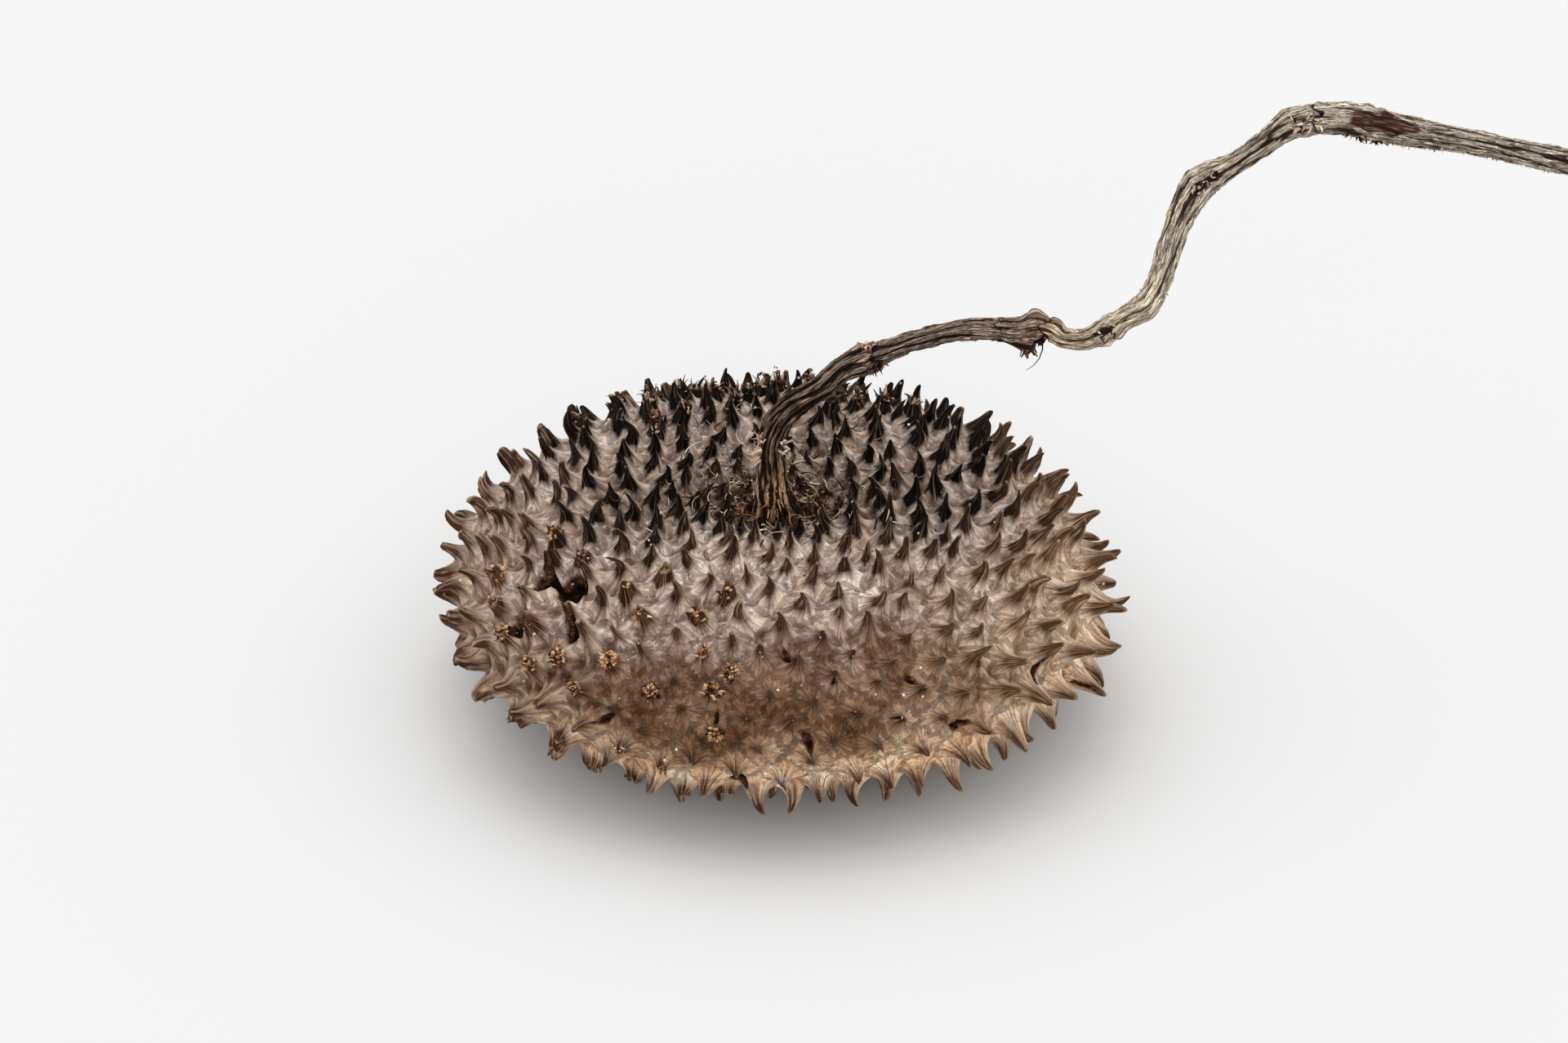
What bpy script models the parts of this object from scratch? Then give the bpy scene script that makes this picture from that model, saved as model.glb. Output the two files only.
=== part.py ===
"""A dried spiny seed capsule, flattened and dimpled, on the woody stalk that it grew on.

The capsule is one solid: its skin is drawn up into hundreds of thorn-like spikes. The stalk
is a second solid, which stands in the socket at the bottom of the dimple.

Metres, +Z up. The origin is on the surface that the capsule rests on, under the capsule's
own axis. +X runs towards the stalk's free end.
"""

import math
import random

import bmesh
import bpy
import numpy as np
from mathutils import Vector, kdtree, noise

MM = 0.001
GOLDEN_ANGLE = math.pi * (3 - math.sqrt(5))
SEED = 11

# The skin between the spikes, as a turned shape
BODY_RADIUS = 34.0 * MM
EQUATOR_HEIGHT = 12.7 * MM
CROWN_RISE = 14.6 * MM
BASE_DROP = 10.1 * MM
BASE_FULLNESS = 2.2
DIMPLE_DEPTH = 5.2 * MM
DIMPLE_WIDTH = 11.0 * MM
LUMP_HEIGHT = 0.9 * MM
LUMP_SIZE = 13.0 * MM
PROFILE_STEPS = 400

# The socket at the bottom of the dimple, where the stalk stands
SOCKET_RADIUS = 3.2 * MM
SOCKET_DRAFT = 0.1 * MM
SOCKET_DEPTH = 1.2 * MM
SOCKET_SIDES = 12
FLOOR_STEPS = 12
WALL_STEPS = 8
LIP_RADIUS = 4.3 * MM

# The flat spot that it rests on: spikes worn level round a blunt scar on the axis
REST_RADIUS = 15.0 * MM
REST_OVERLAP = 0.45 * MM
SCAR_RADIUS = 2.6 * MM
SCAR_HEIGHT = 7.5 * MM

# Bands of distance from the axis over which one kind of spike gives way to the next
STALK_BAND = (4.0 * MM, 17.0 * MM)
RIM_BAND = (22.0 * MM, BODY_RADIUS)
UNDER_BAND = (REST_RADIUS, 24.0 * MM)
LOW_RIM_BAND = (29.0 * MM, BODY_RADIUS)
CROWN_LUMP_BAND = (6.0 * MM, 16.0 * MM)
LIP_BAND = (LIP_RADIUS, LIP_RADIUS + 2.0 * MM)

# How far apart the spikes stand, and how tall they are
SPACING_BY_STALK = 2.8 * MM
SPACING_ON_SHOULDER = 3.75 * MM
SPACING_AT_RIM = 4.05 * MM
SPACING_BELOW = 4.6 * MM
SPACING_UNDERNEATH = 5.3 * MM
SPACING_JITTER = 0.16
HEIGHT_BY_STALK = 2.2 * MM
HEIGHT_ON_SHOULDER = 3.3 * MM
HEIGHT_AT_RIM = 4.3 * MM
HEIGHT_BELOW = 2.9 * MM
HEIGHT_VARIATION = 0.16
FLOOR_GAP = 0.2 * MM
WORN_LOSS = 0.5
WORN_FROM = (math.radians(226), math.radians(246))
WORN_TO = (math.radians(296), math.radians(318))
WORN_ABOVE = (7.5 * MM, 10.5 * MM)
WORN_BELOW = (20.5 * MM, 23.0 * MM)
SPIKE_LEAN = 0.24

# The shape of one spike: slender at the tip, flared at the foot, with low webs to its neighbours
PINCH = 2.0
FLARE = 1.8
WEB_HEIGHT = 1.6 * MM
HOLLOW_DEPTH = 0.35 * MM
CUTS_PER_EDGE = 2

# Broken spikes: a patch on the front left shoulder, and the back of the crown
BROKEN_HEIGHT = 0.5
LEFT_PATCH = (math.radians(195), math.radians(262))
LEFT_PATCH_FROM = 21.0 * MM
LEFT_PATCH_BELOW_FROM = 26.0 * MM
LEFT_PATCH_SHARE = 0.38
BACK_PATCH = (math.radians(55), math.radians(140))
BACK_PATCH_BAND = (17.0 * MM, 29.0 * MM)
BACK_PATCH_SHARE = 0.55

# The stalk
STALK_STEP = 1.7 * MM
STEPS_PER_SPAN = 12
RIB_COUNT = 8
RIB_DEPTH = 0.2
RIB_TWIST = 3.5
# Its route, as the distance along X, the depth along Y, the height above the skin at the
# socket's mouth, and the radius, all in millimetres
STALK_ROUTE = [
    (0.0, 0.0, -0.9, 2.8),
    (0.0, 0.0, 0.3, 2.75),
    (-0.2, 0.0, 1.6, 2.3),
    (-0.5, 0.0, 3.4, 1.9),
    (-0.6, 0.0, 7.1, 1.6),
    (-0.4, 0.1, 9.1, 1.6),
    (0.5, 0.4, 11.2, 1.6),
    (2.3, 0.8, 12.9, 1.5),
    (4.7, 1.2, 14.3, 1.45),
    (7.0, 1.8, 16.2, 1.45),
    (9.2, 2.2, 17.2, 1.75),
    (11.6, 2.5, 18.1, 1.3),
    (14.3, 2.9, 19.0, 1.2),
    (20.0, 3.8, 20.0, 1.25),
    (25.6, 4.2, 19.7, 1.45),
    (27.9, 4.1, 20.0, 1.7),
    (29.3, 3.6, 20.0, 1.5),
    (30.7, 3.0, 19.4, 1.15),
    (32.9, 2.2, 19.7, 1.25),
    (35.1, 2.2, 20.8, 1.6),
    (36.8, 2.6, 21.9, 1.3),
    (39.1, 3.6, 22.9, 1.55),
    (40.6, 5.0, 25.1, 1.45),
    (41.6, 6.2, 28.3, 1.45),
    (42.7, 7.0, 31.3, 1.5),
    (44.0, 7.4, 34.3, 1.85),
    (45.4, 7.4, 36.2, 1.85),
    (47.5, 7.2, 37.5, 1.4),
    (50.5, 7.0, 39.8, 1.3),
    (52.7, 6.8, 41.8, 1.5),
    (54.8, 6.5, 43.3, 1.8),
    (59.2, 5.9, 44.0, 1.8),
    (61.4, 5.6, 43.8, 1.9),
    (67.0, 5.0, 42.8, 1.65),
    (72.5, 4.4, 42.1, 1.35),
    (83.7, 3.2, 40.1, 1.45),
    (89.0, 2.9, 39.0, 1.4),
]


def clear_scene():
    for obj in list(bpy.data.objects):
        bpy.data.objects.remove(obj, do_unlink=True)


def new_collection(name):
    collection = bpy.data.collections.new(name)
    bpy.context.scene.collection.children.link(collection)
    return collection


def finish_material(name, colour, roughness):
    material = bpy.data.materials.new(name)
    material.use_nodes = True
    shader = material.node_tree.nodes["Principled BSDF"]
    shader.inputs["Base Color"].default_value = (*colour, 1.0)
    shader.inputs["Roughness"].default_value = roughness
    shader.inputs["Metallic"].default_value = 0.0
    return material


def smooth_step(band, value):
    """0 below the band, 1 above it, and a smooth rise between."""
    low, high = band
    t = min(1.0, max(0.0, (value - low) / (high - low)))
    return t * t * (3 - 2 * t)


def upper_skin(radius):
    """Height of the upper skin at a distance from the axis, with the dimple in it."""
    dome = CROWN_RISE * math.sqrt(max(0.0, 1 - (radius / BODY_RADIUS) ** 2))
    dimple = DIMPLE_DEPTH * math.exp(-((radius / DIMPLE_WIDTH) ** 2))
    return EQUATOR_HEIGHT + dome - dimple


def lower_skin(radius):
    """Height of the underside, which is flatter than a dome."""
    share = (radius / BODY_RADIUS) ** BASE_FULLNESS
    return EQUATOR_HEIGHT - BASE_DROP * max(0.0, 1 - share) ** (1 / BASE_FULLNESS)


def skin_profile():
    """Points (radius, height) from the socket's floor over the rim to the underside's middle."""
    seat = upper_skin(LIP_RADIUS)
    floor = seat - SOCKET_DEPTH
    mouth = SOCKET_RADIUS + SOCKET_DRAFT
    points = [(SOCKET_RADIUS * i / FLOOR_STEPS, floor) for i in range(FLOOR_STEPS)]
    for i in range(WALL_STEPS):
        rise = i / WALL_STEPS
        points.append((SOCKET_RADIUS + SOCKET_DRAFT * rise, floor + SOCKET_DEPTH * rise))
    points += [(mouth + (LIP_RADIUS - mouth) * i / WALL_STEPS, seat) for i in range(WALL_STEPS)]
    start = math.asin(LIP_RADIUS / BODY_RADIUS)
    for i in range(PROFILE_STEPS + 1):
        angle = start + (math.pi - start) * i / PROFILE_STEPS
        radius = BODY_RADIUS * math.sin(angle)
        height = upper_skin(radius) if angle < math.pi / 2 else lower_skin(radius)
        points.append((radius, height))
    return np.array(points)


class Skin:
    """The turned skin, measured along its profile, with a map to the unit sphere.

    The map keeps small shapes true, so that a net of triangles worked out on the sphere is
    as even on the skin.
    """

    def __init__(self):
        profile = skin_profile()
        self.radius, self.height = profile[:, 0], profile[:, 1]
        steps = np.hypot(np.diff(self.radius), np.diff(self.height))
        self.along = np.concatenate([[0.0], np.cumsum(steps)])
        middle = np.maximum((self.radius[1:] + self.radius[:-1]) / 2, 0.02 * MM)
        stretch = np.concatenate([[0.0], np.cumsum(steps / middle)])
        equator = int(np.argmax(self.radius))
        self.latitude = 2 * np.arctan(np.exp(stretch - stretch[equator]))
        self.latitude[0], self.latitude[-1] = 0.0, math.pi
        self.out = -np.gradient(self.height, self.along)
        self.up = np.gradient(self.radius, self.along)

    def on_sphere(self, along, azimuth):
        latitude = float(np.interp(along, self.along, self.latitude))
        flat = math.sin(latitude)
        return Vector((flat * math.cos(azimuth), flat * math.sin(azimuth), math.cos(latitude)))

    def along_of(self, direction):
        latitude = math.acos(max(-1.0, min(1.0, direction.z)))
        return float(np.interp(latitude, self.latitude, self.along))

    def radius_at(self, along):
        return float(np.interp(along, self.along, self.radius))

    def height_at(self, along):
        return float(np.interp(along, self.along, self.height))

    def is_below(self, along):
        return self.height_at(along) < EQUATOR_HEIGHT

    def normal(self, along, azimuth):
        out = float(np.interp(along, self.along, self.out))
        up = float(np.interp(along, self.along, self.up))
        return Vector((out * math.cos(azimuth), out * math.sin(azimuth), up)).normalized()

    def point(self, along, azimuth):
        """The skin's point, with the slow lumps that a dried fruit has."""
        radius = self.radius_at(along)
        base = Vector((radius * math.cos(azimuth), radius * math.sin(azimuth), self.height_at(along)))
        fade = smooth_step(UNDER_BAND if self.is_below(along) else CROWN_LUMP_BAND, radius)
        lump = LUMP_HEIGHT * fade * noise.noise(base / LUMP_SIZE)
        return base + self.normal(along, azimuth) * lump


class Site:
    """One place on the skin: a spike's foot, or a plain corner with no height."""

    def __init__(self, along, azimuth, height=0.0, lean=(0.0, 0.0)):
        self.along, self.azimuth, self.height, self.lean = along, azimuth, height, lean


def rests(skin, along):
    """True for the places whose spikes are worn level by the surface below."""
    return skin.is_below(along) and skin.radius_at(along) < REST_RADIUS


def spike_spacing(skin, along):
    radius = skin.radius_at(along)
    if skin.is_below(along):
        share = smooth_step(UNDER_BAND, radius)
        spacing = SPACING_UNDERNEATH + (SPACING_BELOW - SPACING_UNDERNEATH) * share
        return spacing + (SPACING_AT_RIM - spacing) * smooth_step(LOW_RIM_BAND, radius)
    share = smooth_step(STALK_BAND, radius)
    spacing = SPACING_BY_STALK + (SPACING_ON_SHOULDER - SPACING_BY_STALK) * share
    return spacing + (SPACING_AT_RIM - SPACING_ON_SHOULDER) * smooth_step(RIM_BAND, radius)


def worn_share(skin, along, azimuth):
    """How far the front's spikes are worn down: 1 in the middle of the patch, 0 outside it."""
    turn, height = azimuth % (2 * math.pi), skin.height_at(along)
    sideways = smooth_step(WORN_FROM, turn) * (1 - smooth_step(WORN_TO, turn))
    return sideways * smooth_step(WORN_ABOVE, height) * (1 - smooth_step(WORN_BELOW, height))


def spike_height(skin, along, azimuth):
    """Short round the stalk, longest on the rim on the free end's side, levelled underneath."""
    if rests(skin, along):
        return skin.height_at(along) + REST_OVERLAP
    radius = skin.radius_at(along)
    share = smooth_step(STALK_BAND, radius)
    height = HEIGHT_BY_STALK + (HEIGHT_ON_SHOULDER - HEIGHT_BY_STALK) * share
    if skin.is_below(along):
        height = HEIGHT_BELOW
    to_free_end = 0.6 + 0.4 * math.cos(azimuth)
    height += (HEIGHT_AT_RIM - height) * smooth_step(RIM_BAND, radius) * to_free_end
    height *= 1 + HEIGHT_VARIATION * random.uniform(-1, 1)
    height *= 1 - WORN_LOSS * worn_share(skin, along, azimuth)
    downwards = -skin.normal(along, azimuth).z
    if downwards > 0.05:
        height = min(height, (skin.height_at(along) - FLOOR_GAP) / downwards)
    return height


def is_broken(skin, along, azimuth):
    radius, turn, below = skin.radius_at(along), azimuth % (2 * math.pi), skin.is_below(along)
    if LEFT_PATCH[0] < turn < LEFT_PATCH[1]:
        nearest = LEFT_PATCH_BELOW_FROM if below else LEFT_PATCH_FROM
        return radius > nearest and random.random() < LEFT_PATCH_SHARE
    if BACK_PATCH[0] < turn < BACK_PATCH[1] and not below:
        inside = BACK_PATCH_BAND[0] < radius < BACK_PATCH_BAND[1]
        return inside and random.random() < BACK_PATCH_SHARE
    return False


def spike_sites(skin):
    """Sites in a golden-angle spiral over the skin, closer together by the stalk."""
    lip = FLOOR_STEPS + 2 * WALL_STEPS
    start = skin.along[lip] + 0.5 * MM
    end = skin.along[-1] - SCAR_RADIUS
    along = np.linspace(start, end, 4 * PROFILE_STEPS)
    middles = (along[1:] + along[:-1]) / 2
    rings = [2 * math.pi * skin.radius_at(a) for a in middles]
    cells = [math.sqrt(3) / 2 * spike_spacing(skin, a) ** 2 for a in middles]
    counted = np.concatenate([[0.0], np.cumsum(np.array(rings) / np.array(cells) * np.diff(along))])
    sites = []
    for i in range(int(counted[-1])):
        place = float(np.interp(i + 0.5, counted, along))
        azimuth = i * GOLDEN_ANGLE % (2 * math.pi)
        jitter = spike_spacing(skin, place) * SPACING_JITTER
        place = min(end, max(start, place + random.uniform(-1, 1) * jitter))
        azimuth += random.uniform(-1, 1) * jitter / skin.radius_at(place)
        height = spike_height(skin, place, azimuth)
        if is_broken(skin, place, azimuth):
            height *= BROKEN_HEIGHT
        lean = (random.uniform(-1, 1) * SPIKE_LEAN, random.uniform(-1, 1) * SPIKE_LEAN)
        sites.append(Site(place, azimuth, height, (0.0, 0.0) if rests(skin, place) else lean))
    return sites


def plain_sites(skin):
    """The socket's corners and the scar, which is a broad stub until it is worn level."""
    sites = [Site(0.0, 0.0), Site(skin.along[-1], 0.0, SCAR_HEIGHT)]
    floor_edge, mouth = skin.along[FLOOR_STEPS], skin.along[FLOOR_STEPS + WALL_STEPS]
    for i in range(SOCKET_SIDES):
        azimuth = 2 * math.pi * i / SOCKET_SIDES
        sites.append(Site(floor_edge, azimuth))
        sites.append(Site(mouth, azimuth + math.pi / SOCKET_SIDES))
    return sites


def lean_direction(normal, lean):
    """The spike's own direction: the skin's normal, leant sideways."""
    across = normal.cross(Vector((0, 0, 1)))
    across = across.normalized() if across.length > 1e-3 else Vector((1, 0, 0))
    return (normal + across * lean[0] + normal.cross(across) * lean[1]).normalized()


def raise_spikes(bm, skin, sites):
    """Moves each corner of the net from the sphere to the skin, drawn up round its spike."""
    tree = kdtree.KDTree(len(sites))
    feet = [skin.point(site.along, site.azimuth) for site in sites]
    for index, foot in enumerate(feet):
        tree.insert(foot, index)
    tree.balance()
    ways = [lean_direction(skin.normal(site.along, site.azimuth), site.lean) for site in sites]
    for vert in bm.verts:
        direction = vert.co.normalized()
        along, azimuth = skin.along_of(direction), math.atan2(direction.y, direction.x)
        base, normal = skin.point(along, azimuth), skin.normal(along, azimuth)
        (_, first, near), (_, _, second), (_, _, third) = tree.find_n(base, 3)
        if sites[first].height == 0.0:
            vert.co = base
            continue
        share = min(1.0, 2 * near / (near + second))
        drawn = (1 - share**PINCH) ** FLARE
        web = max(0.0, 1 - (near + second) / (2 * third))
        foot = feet[first] + (base - feet[first]) * share ** (PINCH - 1)
        swell = (WEB_HEIGHT * web - HOLLOW_DEPTH * (1 - drawn)) * share
        swell *= smooth_step(LIP_BAND, skin.radius_at(along))
        vert.co = foot + ways[first] * sites[first].height * drawn + normal * swell


def level_underside(bm):
    """Wears the lowest spikes flat, in the plane that the capsule rests on."""
    geometry = bm.verts[:] + bm.edges[:] + bm.faces[:]
    bmesh.ops.bisect_plane(
        bm, geom=geometry, dist=1e-7, plane_co=(0, 0, 0), plane_no=(0, 0, -1), clear_outer=True
    )
    rims = [edge for edge in bm.edges if edge.is_boundary]
    bmesh.ops.holes_fill(bm, edges=rims, sides=0)


def build_capsule(collection):
    skin = Skin()
    sites = spike_sites(skin) + plain_sites(skin)
    bm = bmesh.new()
    for site in sites:
        bm.verts.new(skin.on_sphere(site.along, site.azimuth))
    bmesh.ops.convex_hull(bm, input=bm.verts)
    bmesh.ops.subdivide_edges(bm, edges=bm.edges, cuts=CUTS_PER_EDGE, use_grid_fill=True)
    raise_spikes(bm, skin, sites)
    level_underside(bm)
    bmesh.ops.triangulate(bm, faces=bm.faces)
    bmesh.ops.recalc_face_normals(bm, faces=bm.faces)
    mesh = bpy.data.meshes.new("capsule")
    bm.to_mesh(mesh)
    bm.free()
    collection.objects.link(bpy.data.objects.new("capsule", mesh))
    mesh.materials.append(finish_material("dry_husk", (0.235, 0.165, 0.115), 0.7))
    mesh.shade_smooth()
    mesh.set_sharp_from_angle(angle=math.radians(40))


def smooth_route(points, step):
    """Even steps along a Catmull-Rom curve through the points, with their radius."""
    values = [np.array(p, float) * MM for p in points]
    padded = [2 * values[0] - values[1], *values, 2 * values[-1] - values[-2]]
    dense = []
    for a, b, c, d in zip(padded, padded[1:], padded[2:], padded[3:]):
        for t in np.linspace(0, 1, STEPS_PER_SPAN, endpoint=False):
            square = (2 * a - 5 * b + 4 * c - d) * t**2
            cube = (3 * b - a - 3 * c + d) * t**3
            dense.append((2 * b + (c - a) * t + square + cube) / 2)
    dense.append(values[-1])
    dense = np.array(dense)
    lengths = np.linalg.norm(np.diff(dense[:, :3], axis=0), axis=1)
    run = np.concatenate([[0.0], np.cumsum(lengths)])
    places = np.linspace(0, run[-1], round(run[-1] / step) + 1)
    return np.stack([np.interp(places, run, dense[:, k]) for k in range(4)], axis=1)


def fluted_section(collection):
    """A ribbed ring of unit radius, swept along the stalk."""
    curve = bpy.data.curves.new("fluted_section", "CURVE")
    curve.dimensions = "2D"
    spline = curve.splines.new("POLY")
    corners = RIB_COUNT * 2
    spline.points.add(corners - 1)
    for i, point in enumerate(spline.points):
        angle = 2 * math.pi * i / corners
        radius = 1.0 if i % 2 == 0 else 1.0 - RIB_DEPTH
        point.co = (radius * math.cos(angle), radius * math.sin(angle), 0, 1)
    spline.use_cyclic_u = True
    section = bpy.data.objects.new("fluted_section", curve)
    section.hide_render = True
    section.display_type = "WIRE"
    collection.objects.link(section)
    return section


def build_stalk(collection, guides):
    rings = smooth_route(STALK_ROUTE, STALK_STEP)
    mouth = upper_skin(LIP_RADIUS)
    curve = bpy.data.curves.new("stalk", "CURVE")
    curve.dimensions = "3D"
    curve.bevel_mode = "OBJECT"
    curve.bevel_object = fluted_section(guides)
    curve.use_fill_caps = True
    spline = curve.splines.new("POLY")
    spline.points.add(len(rings) - 1)
    for i, (point, (x, y, z, radius)) in enumerate(zip(spline.points, rings)):
        point.co = (x, y, z + mouth, 1)
        point.radius = radius
        point.tilt = RIB_TWIST * i / len(rings)
    path = bpy.data.objects.new("stalk_path", curve)
    collection.objects.link(path)
    bpy.context.view_layer.update()
    mesh = bpy.data.meshes.new_from_object(path.evaluated_get(bpy.context.evaluated_depsgraph_get()))
    mesh.name = "stalk"
    bpy.data.objects.remove(path)
    collection.objects.link(bpy.data.objects.new("stalk", mesh))
    bm = bmesh.new()
    bm.from_mesh(mesh)
    bmesh.ops.remove_doubles(bm, verts=bm.verts, dist=0.001 * MM)
    bmesh.ops.recalc_face_normals(bm, faces=bm.faces)
    bm.to_mesh(mesh)
    bm.free()
    mesh.materials.clear()
    mesh.materials.append(finish_material("dry_bark", (0.16, 0.11, 0.08), 0.85))
    mesh.shade_smooth()
    mesh.set_sharp_from_angle(angle=math.radians(50))


def main():
    random.seed(SEED)
    clear_scene()
    parts = new_collection("spiny_capsule")
    guides = new_collection("guides")
    build_capsule(parts)
    build_stalk(parts, guides)


if __name__ == "__main__":
    main()
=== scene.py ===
"""A dried spiny seed capsule on its kinked woody stalk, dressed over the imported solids.

Metres, +Z up, in the solids' own frame: the origin is on the floor under the capsule's axis,
and +X runs towards the stalk's free end.
"""

import math
import random

import bmesh
import bpy
import numpy as np
from mathutils import Matrix, Quaternion, Vector, kdtree, noise
from mathutils.bvhtree import BVHTree


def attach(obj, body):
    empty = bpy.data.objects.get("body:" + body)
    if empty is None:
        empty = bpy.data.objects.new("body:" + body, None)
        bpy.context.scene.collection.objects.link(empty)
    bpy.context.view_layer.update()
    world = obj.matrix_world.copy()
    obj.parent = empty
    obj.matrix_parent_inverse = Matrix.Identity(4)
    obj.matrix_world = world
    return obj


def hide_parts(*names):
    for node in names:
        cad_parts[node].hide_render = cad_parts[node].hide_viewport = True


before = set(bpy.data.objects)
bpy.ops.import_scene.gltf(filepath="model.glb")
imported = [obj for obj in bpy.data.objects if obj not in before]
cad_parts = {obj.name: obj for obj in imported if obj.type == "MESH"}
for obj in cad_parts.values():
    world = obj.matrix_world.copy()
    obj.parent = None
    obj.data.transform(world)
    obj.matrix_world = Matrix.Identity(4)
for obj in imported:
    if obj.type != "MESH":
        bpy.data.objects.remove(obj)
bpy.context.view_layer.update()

MM = 0.001

# The capsule: one grown husk, thin, tough and dry, drawn up into hundreds of thorn-like
# spikes. It is flattened, dimpled round the stalk, and level where it rests. Every spike
# stands where its solid one does, because the sites take the same draws in the same order.
SEED = 11
GOLDEN_ANGLE = math.pi * (3 - math.sqrt(5))
BODY_RADIUS = 34.0 * MM
EQUATOR_HEIGHT = 12.7 * MM
CROWN_RISE = 14.6 * MM
BASE_DROP = 10.1 * MM
BASE_FULLNESS = 2.2
DIMPLE_DEPTH = 5.2 * MM
DIMPLE_WIDTH = 11.0 * MM
LUMP_HEIGHT = 0.9 * MM
LUMP_SIZE = 13.0 * MM
PROFILE_STEPS = 400
SOCKET_RADIUS = 3.2 * MM
SOCKET_DRAFT = 0.1 * MM
SOCKET_DEPTH = 1.2 * MM
SOCKET_SIDES = 12
FLOOR_STEPS = 12
WALL_STEPS = 8
LIP_RADIUS = 4.3 * MM
REST_RADIUS = 15.0 * MM
REST_OVERLAP = 0.45 * MM
SCAR_RADIUS = 2.6 * MM
SCAR_HEIGHT = 7.5 * MM
STALK_BAND = (4.0 * MM, 17.0 * MM)
RIM_BAND = (22.0 * MM, BODY_RADIUS)
UNDER_BAND = (REST_RADIUS, 24.0 * MM)
LOW_RIM_BAND = (29.0 * MM, BODY_RADIUS)
CROWN_LUMP_BAND = (6.0 * MM, 16.0 * MM)
LIP_BAND = (LIP_RADIUS, LIP_RADIUS + 2.0 * MM)
SPACING_BY_STALK = 2.8 * MM
SPACING_ON_SHOULDER = 3.75 * MM
SPACING_AT_RIM = 4.05 * MM
SPACING_BELOW = 4.6 * MM
SPACING_UNDERNEATH = 5.3 * MM
SPACING_JITTER = 0.16
HEIGHT_BY_STALK = 2.2 * MM
HEIGHT_ON_SHOULDER = 3.3 * MM
HEIGHT_AT_RIM = 4.3 * MM
HEIGHT_BELOW = 2.9 * MM
HEIGHT_VARIATION = 0.16
FLOOR_GAP = 0.2 * MM
WORN_LOSS = 0.5
WORN_FROM = (math.radians(226), math.radians(246))
WORN_TO = (math.radians(296), math.radians(318))
WORN_ABOVE = (7.5 * MM, 10.5 * MM)
WORN_BELOW = (20.5 * MM, 23.0 * MM)
SPIKE_LEAN = 0.24
FLARE = 1.8
WEB_HEIGHT = 1.6 * MM
HOLLOW_DEPTH = 0.35 * MM
BROKEN_HEIGHT = 0.5
LEFT_PATCH = (math.radians(195), math.radians(262))
LEFT_PATCH_FROM = 21.0 * MM
LEFT_PATCH_BELOW_FROM = 26.0 * MM
LEFT_PATCH_SHARE = 0.38
BACK_PATCH = (math.radians(55), math.radians(140))
BACK_PATCH_BAND = (17.0 * MM, 29.0 * MM)
BACK_PATCH_SHARE = 0.55
# What the fine husk adds: twelve steps from spike to spike, finger-like tips that are thinner by
# the stalk, bent spikes, wrinkles, ragged tops on the broken spikes, and skirts of fine ribs
FINE_CUTS = 11
TIP_BAND = (14.0 * MM, 30.0 * MM)
LEFT_BAND = (20.0 * MM, 28.0 * MM)
TIP_SHARE_BY_STALK = 0.075
TIP_SHARE_AT_RIM = 0.17
TIP_SHARE_ON_LEFT = 0.11
TIP_PINCH = 3.4
TIP_PINCH_ON_LEFT = 1.8
TIP_PINCH_BELOW = 2.5
STUB_SHARE = 0.34
STUB_LEVEL = 0.72
BOW = 0.2
WRINKLE_HEIGHT = 0.11 * MM
WRINKLE_SIZE = 1.1 * MM
RIB_HEIGHT = 0.08 * MM
RIB_COUNTS = (9, 17)
SEAM_WIDTH = (0.972, 1.0)
RIDGE_WIDTH = (0.9, 1.0)
SEAM_PROUD = 0.12 * MM
SEAM_CREST = 0.22 * MM
# The near-black crown reaches from the stalk out to here, and over the rim at the back
DARK_RADIUS = 20.5 * MM
DARK_BEHIND = 14.0 * MM
DARK_SIDEWAYS = 4.5 * MM
DARK_EDGE = (-6.0 * MM, 7.0 * MM)
# The way the spikes' painted shade faces: their front-left faces are darkened as if in shade
SHADY_SIDE = (-0.6, -0.78, 0.0)
# Where the colours change, by distance from the axis, by height, or by place along Y or X. Several
# bands carry painted light: a painted highlight on the front lip, painted shade in the trough and on
# the front patch, painted bounce light on the low band, and painted light on the free end's side.
LIP_HIGHLIGHT_BAND = (9.5 * MM, 14.0 * MM)
TROUGH_SHADE_BAND = (17.0 * MM, 23.0 * MM)
TROUGH_SHADE_FRONT_BAND = (-2.0 * MM, 6.0 * MM)
BY_STALK_BAND = (4.5 * MM, 9.5 * MM)
CROWN_BAND = (15.0 * MM, 22.0 * MM)
LOW_BAND = (8.5 * MM, 15.0 * MM)
PATCH_FOOT_BAND = (3.0 * MM, 9.0 * MM)
PATCH_TOP_BAND = (18.0 * MM, 27.0 * MM)
BEHIND_BAND = (-8.0 * MM, 10.0 * MM)
BLEACHED_AND_LIT_BAND = (6.0 * MM, 27.0 * MM)
# Torn places, most of them on the front left shoulder: azimuth in degrees, distance from the
# axis, and size
TORN_PLACES = [
    (215.5, 26.9 * MM, 2.0 * MM), (208.5, 27.9 * MM, 1.7 * MM), (213.0, 31.4 * MM, 1.5 * MM),
    (224.0, 29.6 * MM, 1.1 * MM), (186.0, 27.0 * MM, 1.2 * MM), (20.0, 28.5 * MM, 1.3 * MM),
    (16.0, 30.6 * MM, 0.9 * MM),
]
TORN_DEPTH = 1.8 * MM
TORN_LIP = 0.55 * MM
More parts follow.
